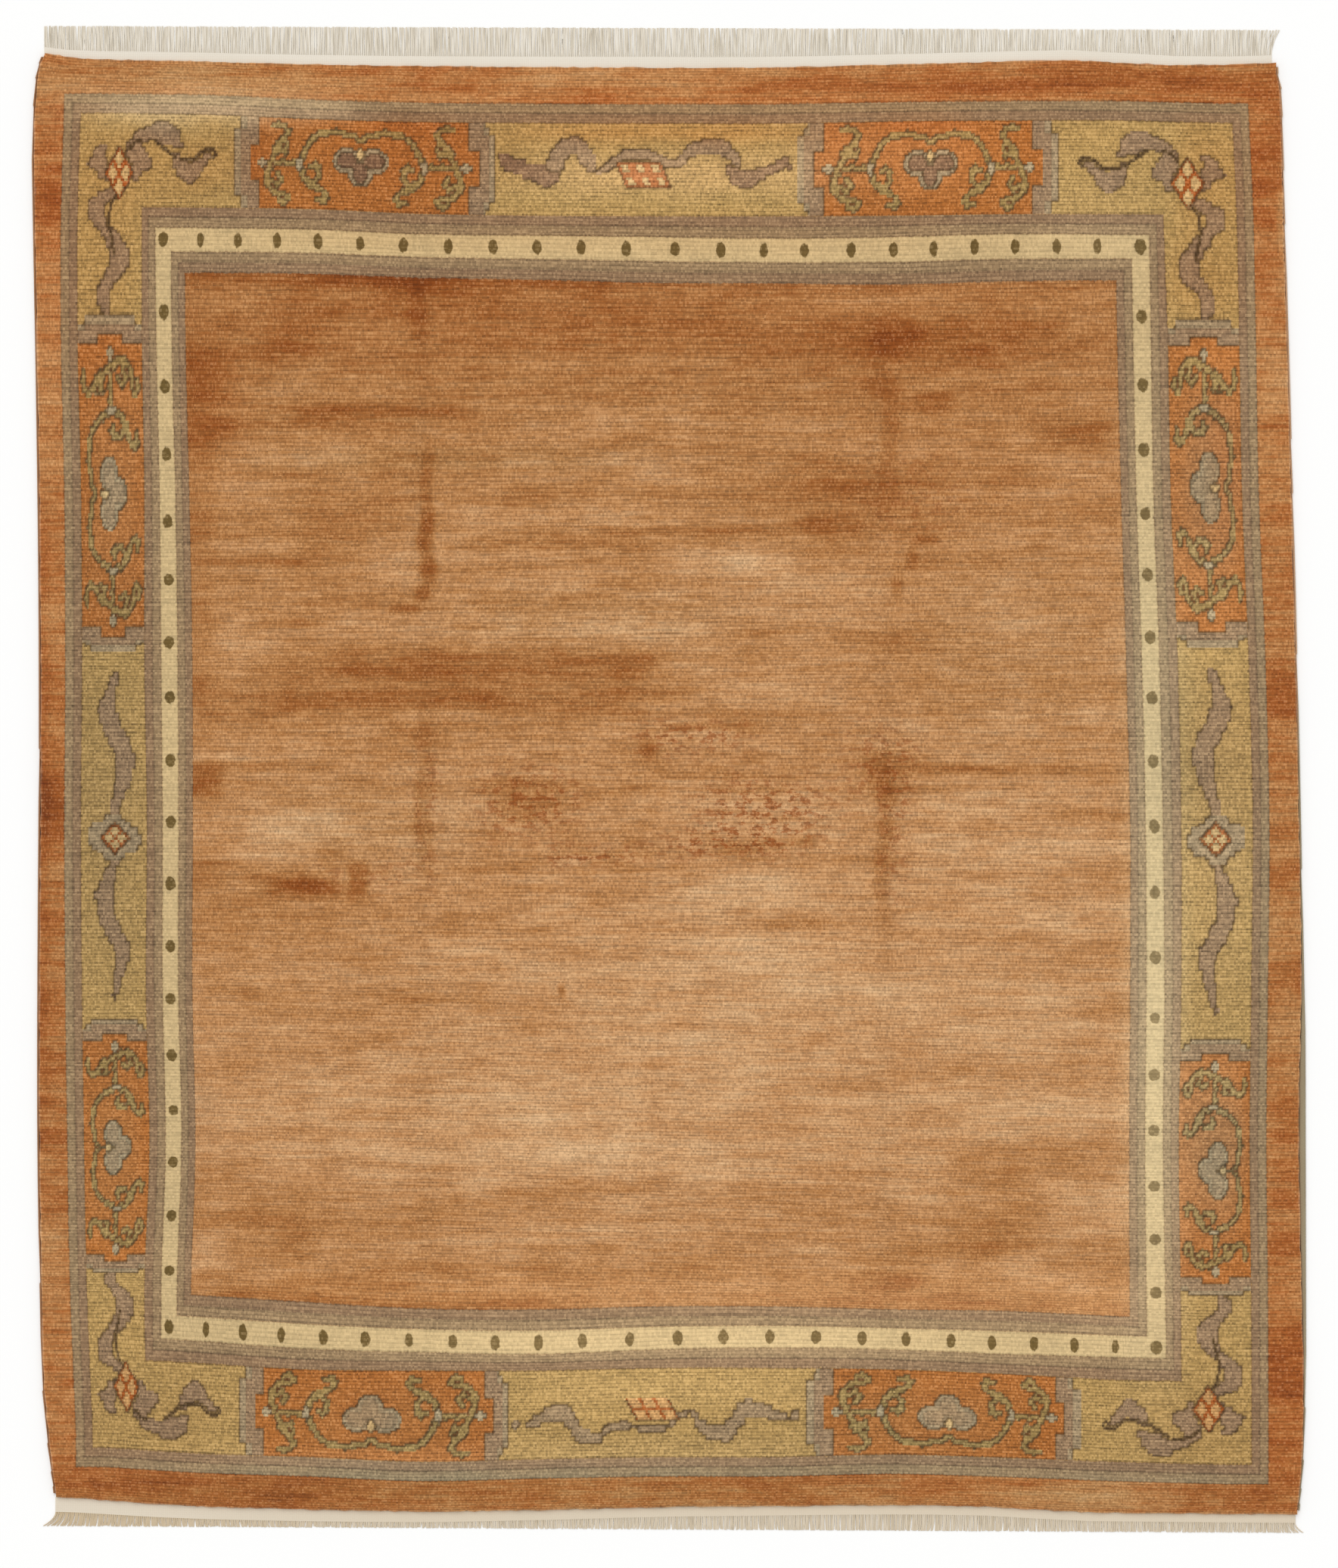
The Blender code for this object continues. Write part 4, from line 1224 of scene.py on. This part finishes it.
def make_stripes_group():
    """Masks for the stripes, their fine lines and the dots, from a place counted in knots and rows."""
    names = ("Guards", "Second tone", "Panels", "Cream", "Field", "Lines", "Dots")
    outputs = [(name, "Float") for name in names]
    group, start, end = new_group("plan stripes", [("Place", "Vector")], outputs)
    place = start.outputs["Place"]
    knot, row = axes_of(group, place)
    side = maths(group, "MINIMUM", knot, minus(group, KNOTS, knot))
    foot = maths(group, "MINIMUM", row, minus(group, ROWS, row))
    rough = minus(group, noise(group, place, 0.6), 0.5)
    edge = times_plus(group, rough, EDGE_NOISE, maths(group, "MINIMUM", side, foot))

    def inside(*stripes, grown=0.0):
        """A mask for stripes from an outer line to an inner one."""
        total = None
        for low, high in stripes:
            mask = minus(group, step_up(group, edge, low - grown), step_up(group, edge, high + grown))
            total = mask if total is None else plus(group, total, mask)
        return total

    def outside(value, at, soft):
        """1 below a value and 0 above it."""
        return minus(group, 1.0, step_up(group, value, at, soft))

    cream = inside((CREAM_OUT, CREAM_IN))
    saw = maths(group, "MODULO", plus(group, edge, LINE_GAP / 2), LINE_GAP)
    saw = maths(group, "ABSOLUTE", minus(group, saw, LINE_GAP / 2))
    lines = times(group, outside(saw, LINE_WIDTH, 0.4), inside(*GUARDS, grown=0.5))

    # How far each place is from the middle of the nearest dot, across and along
    squares = []
    for value in (knot, row):
        at = plus(group, value, 1.5 * DOT_STEP - FIRST_DOT % DOT_STEP)
        at = minus(group, maths(group, "MODULO", at, DOT_STEP), DOT_STEP / 2)
        squares.append(times(group, at, at))
    away = maths(group, "SQRT", plus(group, *squares))
    away = times_plus(group, rough, DOT_NOISE, away)
    away = swing(group, noise(group, place, 0.11, 1.0), DOT_DRIFT, away)
    dots = times(group, outside(away, DOT_SIZE, 0.35), cream)

    field = step_up(group, edge, FIELD)
    panels = inside((PANEL_OUT, PANEL_IN))
    results = (inside(*GUARDS), inside(*SECOND_TONES), panels, cream, field, lines, dots)
    for name, value in zip(names, results):
        group.links.new(value, end.inputs[name])
    return group


KNOTS_GROUP = make_knots_group()
STREAKS_GROUP = make_streaks_group()
STRIPES_GROUP = make_stripes_group()
print("node groups:", [group.name for group in bpy.data.node_groups])

# %% [markdown]
# ## The wool pile's material
# One material covers the whole top. The band, the panels' grounds and the field each get their own range
# of dye, and the tone, the streaks and the shade of single knots move along that range.

# %% Wools of the pile, as screen colours
# Pairs of a tone and its colour
BAND_DYES = ((-1.25, (126, 58, 18)), (-0.9, (136, 68, 24)), (-0.5, (160, 86, 34)), (-0.2, (172, 102, 48)),
             (0.0, (178, 115, 62)), (0.4, (187, 132, 80)), (0.8, (194, 148, 102)), (1.25, (200, 165, 128)))
FIELD_DYES = ((-1.25, (136, 68, 18)), (-0.86, (147, 80, 28)), (-0.5, (158, 96, 44)), (-0.2, (168, 111, 60)),
              (0.0, (175, 120, 69)), (0.3, (186, 134, 86)), (0.6, (195, 148, 102)), (1.0, (205, 164, 120)))
DYE_REACH = 1.25
YARN_SHADES = {
    OCHRE: (175, 141, 84), ORANGE: (171, 103, 45), MAUVE: (149, 120, 90), GREY: (158, 136, 104),
    DARK: (100, 78, 44), OLIVE: (156, 127, 74), CREAM: (200, 168, 115), RED: (170, 90, 33),
    HEART: (130, 96, 70), PALE: (168, 148, 114), LILAC: (153, 127, 95), PEACH: (198, 150, 94),
}
GUARD_WOOLS = ((145, 115, 85), (153, 126, 92))
CREAM_WOOL = (202, 175, 127)
DOT_WOOL = (108, 86, 44)
SPECKLE_WOOL = (146, 76, 26)
PALE_WOOL = (218, 190, 146)
TIP_PAINTED_HIGHLIGHT = (230, 200, 152)
GROOVE_PAINTED_SHADOW = (84, 62, 36)

# What one unit of warmth adds to red, green and blue light
WARMTH = (0.05, -0.10, -0.22)


# %% Places and values that the mesh carries
def plan_place(tree):
    """The place on the plan, in knots from the left and rows from the top."""
    across, up = axes_of(tree, node(tree, "UVMap", uv_map="loom").outputs[0])
    row = times(tree, minus(tree, 1.0, up), ROWS)
    return node(tree, "CombineXYZ", [(0, times(tree, across, KNOTS)), (1, row), (2, 0.0)]).outputs[0]


def attribute(tree, name):
    """A value that the mesh carries."""
    return node(tree, "Attribute", attribute_name=name).outputs["Fac"]


# %% Colour of the pile
SPOT_SCALES = (0.15, 0.34)
SPOT_EDGE = 0.54
SPOT_SHARE = 0.8
GROOVE_SHADOW_SHARE = 0.78


def pile_colour(tree, place, dye, stripes, carved):
    """Yarn colours: ground, ornaments, speckles, fading, painted rim light and painted groove shadow."""
    level = times_plus(tree, dye, 0.5 / DYE_REACH, 0.5)
    band, field = (ramp(tree, level, [(0.5 + 0.5 * tone / DYE_REACH, shade) for tone, shade in dyes])
                   for dyes in (BAND_DYES, FIELD_DYES))
    kinds = len(YARN_SHADES)
    yarn = maths(tree, "DIVIDE", plus(tree, attribute(tree, "yarn"), 0.5), kinds)
    panel = ramp(tree, yarn, [(index / kinds, shade) for index, shade in YARN_SHADES.items()], "CONSTANT")
    spots = step_up(tree, long_noise(tree, place, SPOT_SCALES, 3.0, 0.7), SPOT_EDGE, 0.05)
    spots = times(tree, times(tree, spots, attribute(tree, "speckle")), SPOT_SHARE)
    field = mix(tree, maths(tree, "MINIMUM", spots, 0.85), field, SPECKLE_WOOL)

    shade = mix(tree, stripes["Guards"], band, mix(tree, stripes["Second tone"], *GUARD_WOOLS))
    shade = mix(tree, stripes["Panels"], shade, panel)
    shade = mix(tree, stripes["Cream"], shade, mix(tree, stripes["Dots"], CREAM_WOOL, DOT_WOOL))
    shade = mix(tree, stripes["Field"], shade, field)
    # Paleness from fading, and painted light on the rim's steps
    shade = mix(tree, maths(tree, "MAXIMUM", attribute(tree, "paleness"), 0.0), shade, PALE_WOOL)
    # Painted shadow in the carved grooves between the panels' yarns
    grooves = times(tree, maths(tree, "POWER", carved, 1.5), stripes["Panels"])
    return mix(tree, times(tree, grooves, GROOVE_SHADOW_SHARE), shade, GROOVE_PAINTED_SHADOW)


# %% Light and shade of the pile
FIELD_DYE_LIGHT = 0.06
STRIPE_DYE_LIGHT = 0.14
CREAM_CONTRAST = -0.4
PANEL_CONTRAST = 0.3
STRIPE_LINE_PAINTED_SHADE = -0.24
CREASE_PAINTED_SHADE = -0.06


def pile_light(tree, dye, streak, stripes, knot_shade):
    """How light the wool is, around 1, from streaks, wear, single knots, the stripes' lines and creases.
    Wear's patches and the rim carry painted light, and the lines, the rows and the creases painted shade.
    """
    striped = maths(tree, "MAXIMUM", stripes["Panels"], stripes["Cream"])
    striped = maths(tree, "MAXIMUM", stripes["Guards"], striped)
    in_field = times_plus(tree, dye, FIELD_DYE_LIGHT, 1.0)
    in_stripes = times_plus(tree, streak, STRIPE_DYE_LIGHT, 1.0)
    soft = node(tree, "Mix", [(0, striped), (2, in_field), (3, in_stripes)]).outputs[0]
    # Lightness from wear, partly painted light and shade, and painted light on the rim
    soft = plus(tree, soft, attribute(tree, "lightness"))
    contrast = times_plus(tree, stripes["Cream"], CREAM_CONTRAST, 1.0)
    contrast = times_plus(tree, stripes["Panels"], PANEL_CONTRAST, contrast)
    light = times(tree, times_plus(tree, minus(tree, knot_shade, 1.0), contrast, 1.0), soft)
    # Painted shade in the stripes' fine grooves
    light = times_plus(tree, stripes["Lines"], STRIPE_LINE_PAINTED_SHADE, light)
    # Painted shade along the creases' troughs
    return times_plus(tree, attribute(tree, "crease"), CREASE_PAINTED_SHADE, light)


# %% Wool pile
TIP_SHADES = (1.08, 1.5)
TIP_LIGHT = 0.28
LINE_DEPTH = -0.8
GROOVE_DEPTH = -0.8


def wool_pile():
    """The knotted top of the rug."""
    material, tree, shader = new_material("wool_pile")
    place = plan_place(tree)
    knots = use_group(tree, KNOTS_GROUP, place)
    stripes = use_group(tree, STRIPES_GROUP, place)
    streak = use_group(tree, STREAKS_GROUP, object_place(tree))[0]
    # The tone and the streaks; the tone's field slope is partly painted light
    dye = plus(tree, attribute(tree, "tone"), streak)
    carved = attribute(tree, "carved")

    shade = pile_colour(tree, place, dye, stripes, carved)
    light = pile_light(tree, dye, streak, stripes, knots["Shade"])
    warmth = attribute(tree, "warmth")
    parts = [times(tree, light, times_plus(tree, warmth, share, 1.0)) for share in WARMTH]
    shade = mix(tree, 1.0, shade, node(tree, "CombineColor", list(enumerate(parts))).outputs[0], "MULTIPLY")
    # Painted highlight: the brightest tufts turn toward a pale tip colour
    tips = node(tree, "MapRange", [("Value", knots["Shade"]), ("From Min", TIP_SHADES[0]),
                                   ("From Max", TIP_SHADES[1]), ("To Max", TIP_LIGHT)]).outputs[0]
    shade = mix(tree, tips, shade, TIP_PAINTED_HIGHLIGHT)

    height = times_plus(tree, stripes["Lines"], LINE_DEPTH, knots["Height"])
    height = times_plus(tree, carved, GROOVE_DEPTH, height)
    finish_shader(tree, shader, shade, height, (0.5, 0.0012), 0.9)
    shader.inputs["Specular IOR Level"].default_value = 0.15
    shader.inputs["Sheen Weight"].default_value = 0.15
    shader.inputs["Sheen Roughness"].default_value = 0.5
    return material


# %% [markdown]
# ## The underside
# Turned over, a knotted rug shows the same pattern in small flat knots, paler, with the cotton warps
# between them. The underside reads the same stripes, so it matches the top, and its panels stay plain.


# %% Underside
BACK_BAND = (176, 122, 76)
BACK_STRIPES = {"Guards": (150, 124, 96), "Panels": (180, 148, 98), "Cream": (205, 184, 140),
                "Field": (184, 136, 94)}


def wool_back():
    """The flat back of the knots."""
    material, tree, shader = new_material("wool_back")
    place = plan_place(tree)
    knots = use_group(tree, KNOTS_GROUP, place)
    stripes = use_group(tree, STRIPES_GROUP, place)
    shade = BACK_BAND
    for stripe, wool in BACK_STRIPES.items():
        shade = mix(tree, stripes[stripe], shade, wool)
    light = knots["Shade"]
    grey = node(tree, "CombineColor", [(0, light), (1, light), (2, light)]).outputs[0]
    shade = mix(tree, 1.0, shade, grey, "MULTIPLY")
    finish_shader(tree, shader, shade, knots["Height"], (0.3, 0.0006), 0.9)
    return material


# %% Make the pile
pile = make_pile([wool_pile(), wool_back()])
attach(pile, "root")
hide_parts("pile_cloth")

# %% [markdown]
# ## Woven ends and their fringe
# At each end the weaver leaves the knots off and weaves a narrow strip of plain cotton, and the warps run
# out of it as fringe. The strip is a thin grid, and each strand is pulled out of the strip's outer wall
# by extruding it in steps, so strand and strip are one mesh as warp and weave are one yarn.

# %% Sizes of the ends
GAP = 0.3
WOVEN_HEIGHT = 2.4
STRANDS = 640
STRAND_STEPS = 5
ROOT_SHARE = 0.86
TIP_SHARE = 0.92
STRAND_HEIGHTS = (2.2, 1.9, 1.7, 1.5, 1.3, 1.1)

# Tips lean in a long and a short wave, each with its reach and its length in strands, and a little by
# chance. The last strands beside a corner flare out. Strands also waver on the way and differ in length.
LONG_LEAN = (1.6, 23.0)
SHORT_LEAN = (0.9, 7.3)
LEAN_CHANCE = 1.0
FLARE_STRANDS = 7.0
WAVER = 0.9
SHORTER = 0.8

# Columns: x, width of the woven strip, in millimetres
TOP_WOVEN = ((-1238, 12), (-1142, 17), (-753, 19), (-36, 22), (442, 21), (920, 20), (1204, 15))
BOTTOM_WOVEN = ((-1216, 29), (-900, 25), (-300, 20), (600, 18), (1243, 17))
ENDS = {
    "top": {"node": "fringe_top", "way": 1, "left": -1235, "right": 1191, "tips": (1490, 1482),
            "woven": np.array(TOP_WOVEN, float), "flare": (-1, 18), "seed": 3},
    "bottom": {"node": "fringe_bottom", "way": -1, "left": -1213, "right": 1238, "tips": (-1476, -1489.5),
               "woven": np.array(BOTTOM_WOVEN, float), "flare": (-24, 15), "seed": 4},
}


# %% Woven strip
def strip_root(name, end, x):
    """y of the strip's line beside the pile, in millimetres."""
    return float(edge_y(name, x * MM)) / MM + end["way"] * GAP


def strip_width(end, x):
    """Width of the strip at x, in millimetres."""
    return float(np.interp(x, end["woven"][:, 0], end["woven"][:, 1]))


def strand_columns(end):
    """Places across the strip: a gap, then a strand, and so on to the other side."""
    pitch = (end["right"] - end["left"]) / STRANDS
    margin = pitch * (1 - ROOT_SHARE) / 2
    columns = [end["left"]]
    for index in range(STRANDS):
        columns += [end["left"] + index * pitch + margin, end["left"] + (index + 1) * pitch - margin]
    return columns + [end["right"]]


def woven_strip(name, end):
    """The strip as a thin closed grid, with its strands' places as columns."""
    columns = strand_columns(end)
    bm = bmesh.new()
    bmesh.ops.create_grid(bm, x_segments=len(columns) - 1, y_segments=2, size=0.5)
    for vert in bm.verts:
        x = columns[round((vert.co.x + 0.5) * (len(columns) - 1))]
        share = 0.5 + end["way"] * vert.co.y
        vert.co = (x, strip_root(name, end, x) + end["way"] * share * strip_width(end, x), 0)
    raised = bmesh.ops.extrude_face_region(bm, geom=bm.faces[:])["geom"]
    top = [item for item in raised if isinstance(item, bmesh.types.BMVert)]
    bmesh.ops.translate(bm, vec=(0, 0, WOVEN_HEIGHT), verts=top)
    bmesh.ops.recalc_face_normals(bm, faces=bm.faces)
    return bm


# %% Pull the strands
def strand_path(end, index, chance):
    """How far one strand leans at its tip, how it wavers on the way, and how much shorter it is."""
    lean = LONG_LEAN[0] * math.sin(index / LONG_LEAN[1] + end["seed"])
    lean += SHORT_LEAN[0] * math.sin(index / SHORT_LEAN[1])
    lean += chance.gauss(0.0, LEAN_CHANCE)
    from_sides = (index, STRANDS - 1 - index)
    lean += sum(flare * math.exp(-away / FLARE_STRANDS) for flare, away in zip(end["flare"], from_sides))
    return lean, chance.uniform(-WAVER, WAVER), abs(chance.gauss(0.0, SHORTER))


def plan_strands(bm, end, number):
    """The wall's faces that become strands, marked with their numbers, and the strands' paths."""
    outer = [face for face in bm.faces if face.normal.y * end["way"] > 0.7]
    outer.sort(key=lambda face: face.calc_center_median().x)
    faces = outer[1::2]
    chance = random.Random(end["seed"])
    strands = []
    for index, face in enumerate(faces):
        face[number] = index
        root = face.calc_center_median()
        share = (root.x - end["left"]) / (end["right"] - end["left"])
        tip = end["tips"][0] + share * (end["tips"][1] - end["tips"][0])
        strands.append((root, tip, *strand_path(end, index, chance)))
    return faces, strands


def pull_strands(bm, end):
    """Extrudes the strands out of the strip's wall, step by step."""
    number = bm.faces.layers.int.new("strand")
    faces, strands = plan_strands(bm, end, number)
    pitch = (end["right"] - end["left"]) / STRANDS
    for step in range(1, STRAND_STEPS + 1):
        share = step / STRAND_STEPS
        width = pitch * (ROOT_SHARE + (TIP_SHARE - ROOT_SHARE) * share)
        faces = bmesh.ops.extrude_discrete_faces(bm, faces=faces)["faces"]
        for face in faces:
            root, tip, lean, waver, short = strands[face[number]]
            middle = face.calc_center_median()
            shift = lean * share * share + waver * math.sin(share * math.pi)
            for vert in face.verts:
                side = math.copysign(0.5, vert.co.x - middle.x)
                high = vert.co.z > middle.z
                vert.co.x = root.x + shift + side * width
                vert.co.y = root.y + (tip - end["way"] * short - root.y) * share
                vert.co.z = STRAND_HEIGHTS[step] if high else 0.0


def make_end(name, end, materials):
    """One woven strip with its strands."""
    bm = woven_strip(name, end)
    pull_strands(bm, end)
    for face in bm.faces:
        far = face.calc_center_median()
        from_pile = (far.y - strip_root(name, end, far.x)) * end["way"]
        face.material_index = 1 if from_pile > strip_width(end, far.x) + 0.1 else 0
    bmesh.ops.scale(bm, vec=(MM, MM, MM), verts=bm.verts)
    bmesh.ops.recalc_face_normals(bm, faces=bm.faces)
    piece = finish_piece(bm, end["node"] + "_cotton", materials, smooth=False)
    print(piece.name, "faces:", len(piece.data.polygons))
    return piece


# %% [markdown]
# ## Cotton
# Undyed cotton is a warm white. The strip is a plain weave, fine lines both ways, with its lines across
# the rug the stronger. A strand is a few twisted plies, so its material has thin slanting lines along it,
# with painted shadow between the plies. Both have aged in grey patches, and the bottom end is darker, most
# of all in its left corner.


# %% Node group: age on cotton
def make_age_group():
    """Soft grey patches on cotton, from 0 to 1."""
    group, start, end = new_group("cotton age", [("Place", "Vector")], [("Patches", "Float")])
    patches = long_noise(group, start.outputs["Place"], (4.0, 9.0), 4.0, 0.6)
    group.links.new(patches, end.inputs["Patches"])
    return group


AGE_GROUP = make_age_group()

# %% Cottons, as screen colours
WOVEN_COTTON = ((224, 215, 199), (243, 236, 222))
WOVEN_AGED = (206, 194, 172)
WOVEN_DARKENED = (202, 180, 146)
STRAND_COTTON = ((0.32, (182, 170, 148)), (0.5, (228, 218, 200)), (0.66, (248, 243, 233)))
TWIST_PAINTED_SHADOW = (196, 186, 168)
STRAND_AGED = (204, 192, 170)
STRAND_DARKENED = (198, 176, 142)

# Waves a metre of the weave, of a strand's twist and of the wraps of a side cord, times 2 pi
WEFT_WAVES = 2400.0
WARP_WAVES = 1700.0
TWIST_WAVES = (5200.0, 900.0)
WRAP_WAVES = (700.0, 2100.0)


def slanting(tree, first, second):
    """Fine slanting lines, from 0 to 1, from two pairs of a direction and its waves."""
    return wave(tree, "SINE", times_plus(tree, *first, times(tree, *second)))


def grey_patches_and_darker_end(tree, spot, shade, amount, aged_shade, darkened, left_corner):
    """Adds the grey patches, and the darkening of the bottom end, up to an amount in its left corner."""
    patches = use_group(tree, AGE_GROUP, spot)["Patches"]
    shade = mix(tree, times(tree, patches, amount), shade, aged_shade)
    x, y = axes_of(tree, spot)
    to_left = node(tree, "MapRange", [("Value", x), ("From Min", -0.5), ("From Max", -1.2), ("To Min", 0.5),
                                      ("To Max", left_corner)]).outputs[0]
    # Darker towards the bottom end, most of all in its left corner
    return mix(tree, times(tree, maths(tree, "LESS_THAN", y, 0.0), to_left), shade, darkened)


# %% Woven strip and strands
def cotton_woven():
    """The flat-woven end."""
    material, tree, shader = new_material("cotton_woven")
    spot = object_place(tree)
    x, y = axes_of(tree, spot)
    weft = wave(tree, "SINE", times(tree, y, WEFT_WAVES))
    warp = wave(tree, "SINE", times(tree, x, WARP_WAVES))
    weave = times_plus(tree, weft, 0.6, times(tree, warp, 0.4))
    shade = grey_patches_and_darker_end(tree, spot, mix(tree, weave, *WOVEN_COTTON), 0.35, WOVEN_AGED, WOVEN_DARKENED, 0.3)
    finish_shader(tree, shader, shade, weave, (0.4, 0.0004), 0.85)
    return material


def cotton_strands():
    """The twisted warp ends."""
    material, tree, shader = new_material("cotton_strands")
    spot = object_place(tree)
    x, y = axes_of(tree, spot)
    twist = slanting(tree, (y, TWIST_WAVES[1]), (x, TWIST_WAVES[0]))
    lots = ramp(tree, long_noise(tree, spot, (420.0, 14.0), 3.0, 0.6), STRAND_COTTON)
    # Painted shadow between the twisted plies
    shade = mix(tree, times(tree, twist, 0.2), lots, TWIST_PAINTED_SHADOW)
    shade = grey_patches_and_darker_end(tree, spot, shade, 0.3, STRAND_AGED, STRAND_DARKENED, 0.95)
    finish_shader(tree, shader, shade, twist, (0.3, 0.0003), 0.85)
    return material


# %% Make both ends
cotton = [cotton_woven(), cotton_strands()]
for end_name, end in ENDS.items():
    fringe = make_end(end_name, end, cotton)
    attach(fringe, "root")
    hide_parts(end["node"])

# %% [markdown]
# ## Overcast sides
# Each side's last warps are wrapped round and round with yarn, which makes a low cord beside the pile.
# The frame's solid gives its outer line, and a grid bent over between that and the pile gives the cord,
# with every second ring of corners raised a little for the wraps.

# %% Wrapped edges
WRAPS = 480
CORD_SIDES = 6
CORD_HEIGHT = 5.6
WRAP_RISE = 0.35
CORD_FULLNESS = 0.5
SEAM = 0.3 * MM


def side_lines(node_name, side):
    """Levels along a side cord, with the x of its line beside the pile and of its outer line."""
    way = -1 if side == "left" else 1
    points = np.array([vert.co[:2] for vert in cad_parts[node_name].data.vertices])
    heights = points[:, 1].round(4)
    levels = np.unique(heights)
    outer = [way * max(way * points[heights == level, 0]) for level in levels]
    return levels, edge_x(side, levels) + way * SEAM, np.array(outer)


def make_cord(node_name, side, material):
    """A wrapped cord beside the pile, closed underneath."""
    levels, seam, outer = side_lines(node_name, side)
    bm = bmesh.new()
    bmesh.ops.create_grid(bm, x_segments=CORD_SIDES + 1, y_segments=WRAPS * 2, size=0.5)
    for vert in bm.verts:
        ring = round((vert.co.y + 0.5) * WRAPS * 2)
        y = levels[0] + (vert.co.y + 0.5) * (levels[-1] - levels[0])
        turn = round((vert.co.x + 0.5) * (CORD_SIDES + 1)) / CORD_SIDES
        turn = math.pi * turn if turn <= 1 else 0.0
        inner, far = float(np.interp(y, levels, seam)), float(np.interp(y, levels, outer))
        high_up = CORD_HEIGHT * math.sin(turn) ** CORD_FULLNESS + WRAP_RISE * (ring % 2) * math.sin(turn)
        vert.co = ((inner + far) / 2 - (far - inner) / 2 * math.cos(turn), y, max(high_up, 0.0) * MM)
    bmesh.ops.remove_doubles(bm, verts=bm.verts, dist=0.01 * MM)
    bmesh.ops.holes_fill(bm, edges=bm.edges, sides=0)
    bmesh.ops.recalc_face_normals(bm, faces=bm.faces)
    open_edges = sum(1 for edge in bm.edges if not edge.is_manifold)
    print(node_name, "open edges:", open_edges, "width in mm:", (np.abs(outer - seam).max() / MM).round(1))
    return finish_piece(bm, node_name + "_wrap", [material], smooth=True)


# %% Wrapped wool
# Pairs of screen colours that the wool drifts between
BROWN_WRAP = ((146, 98, 62), (178, 132, 92))
TAN_WRAP = ((184, 142, 106), (208, 172, 138))
GREY_WRAP = ((142, 124, 96), (170, 158, 128))
WRAP_PAINTED_SHADE = (112, 92, 64)
GREY_FROM = 1.2425


def overcast_wool():
    """Wrapped wool: brown on the left side, tan on the right one, and grey where that one is widest."""
    material, tree, shader = new_material("overcast_wool")
    spot = object_place(tree)
    x, y = axes_of(tree, spot)
    wrap = slanting(tree, (x, WRAP_WAVES[0]), (y, WRAP_WAVES[1]))
    drift = long_noise(tree, spot, (60.0, 9.0), 3.0)
    brown, tan, grey = (mix(tree, drift, *pair) for pair in (BROWN_WRAP, TAN_WRAP, GREY_WRAP))
    shade = mix(tree, step_up(tree, x, 0.0), brown, tan)
    shade = mix(tree, step_up(tree, x, GREY_FROM, 0.002), shade, grey)
    # Painted shade in the lines between the wraps
    shade = mix(tree, times(tree, wrap, 0.3), shade, WRAP_PAINTED_SHADE)
    finish_shader(tree, shader, shade, wrap, (0.5, 0.0006), 0.9)
    return material


wrap_wool = overcast_wool()
for side in ("left", "right"):
    side_node = "overcast_" + side
    cord = make_cord(side_node, side, wrap_wool)
    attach(cord, "root")
    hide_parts(side_node)

# %% [markdown]
# The pile is one sheet of cloth laid flat.

# %% [markdown]
# ## Floor, light and camera
# The rug lies on a pale floor under even light, and the camera looks straight down, as in the photograph.
# A wide soft sun from the top of the view gives the rows and the rim a little shade.

# %% Floor
FLOOR_SIZE = 8.0
FLOOR_DROP = 0.0004
FLOOR_SHADE = (252, 252, 251)


def make_floor():
    """A plain pale floor."""
    bm = bmesh.new()
    bmesh.ops.create_grid(bm, x_segments=1, y_segments=1, size=FLOOR_SIZE)
    bmesh.ops.translate(bm, vec=(0, 0, -FLOOR_DROP), verts=bm.verts)
    material, tree, shader = new_material("floor_pale")
    shader.inputs["Base Color"].default_value = colour(*FLOOR_SHADE)
    shader.inputs["Roughness"].default_value = 0.9
    return finish_piece(bm, "floor", [material], smooth=False)


make_floor()

# %% Light
SKY = 0.745
SUN = 1.15
SUN_WIDTH = 50
SUN_TILT = (-38, -14, 0)

world = bpy.data.worlds.new("studio")
world.use_nodes = True
background = world.node_tree.nodes["Background"]
background.inputs["Color"].default_value = (1.0, 1.0, 1.0, 1.0)
background.inputs["Strength"].default_value = SKY
bpy.context.scene.world = world
sun = bpy.data.objects.new("soft_sun", bpy.data.lights.new("soft_sun", "SUN"))
sun.data.energy = SUN
sun.data.angle = math.radians(SUN_WIDTH)
sun.rotation_euler = [math.radians(angle) for angle in SUN_TILT]
bpy.context.scene.collection.objects.link(sun)
bpy.context.scene.view_settings.view_transform = "Standard"

# %% Camera
PHOTO_WIDTH, PHOTO_HEIGHT = 1768, 2072
METRES_PER_PIXEL = 1.494 * MM
RUG_MIDDLE = (884.15, 1030.0)
LENS = 85.0
SENSOR = 36.0
FAR_CLIP = 100.0

camera = bpy.data.objects.new("camera", bpy.data.cameras.new("camera"))
camera.data.lens = LENS
camera.data.sensor_width = SENSOR
camera.data.clip_end = FAR_CLIP
distance = PHOTO_HEIGHT * METRES_PER_PIXEL * LENS / SENSOR
aim_x = (PHOTO_WIDTH / 2 - RUG_MIDDLE[0]) * METRES_PER_PIXEL
aim_y = (RUG_MIDDLE[1] - PHOTO_HEIGHT / 2) * METRES_PER_PIXEL
camera.location = (aim_x, aim_y, distance + PILE_HEIGHT * MM)
bpy.context.scene.collection.objects.link(camera)
bpy.context.scene.camera = camera
print("camera height in metres:", round(camera.location.z, 3))
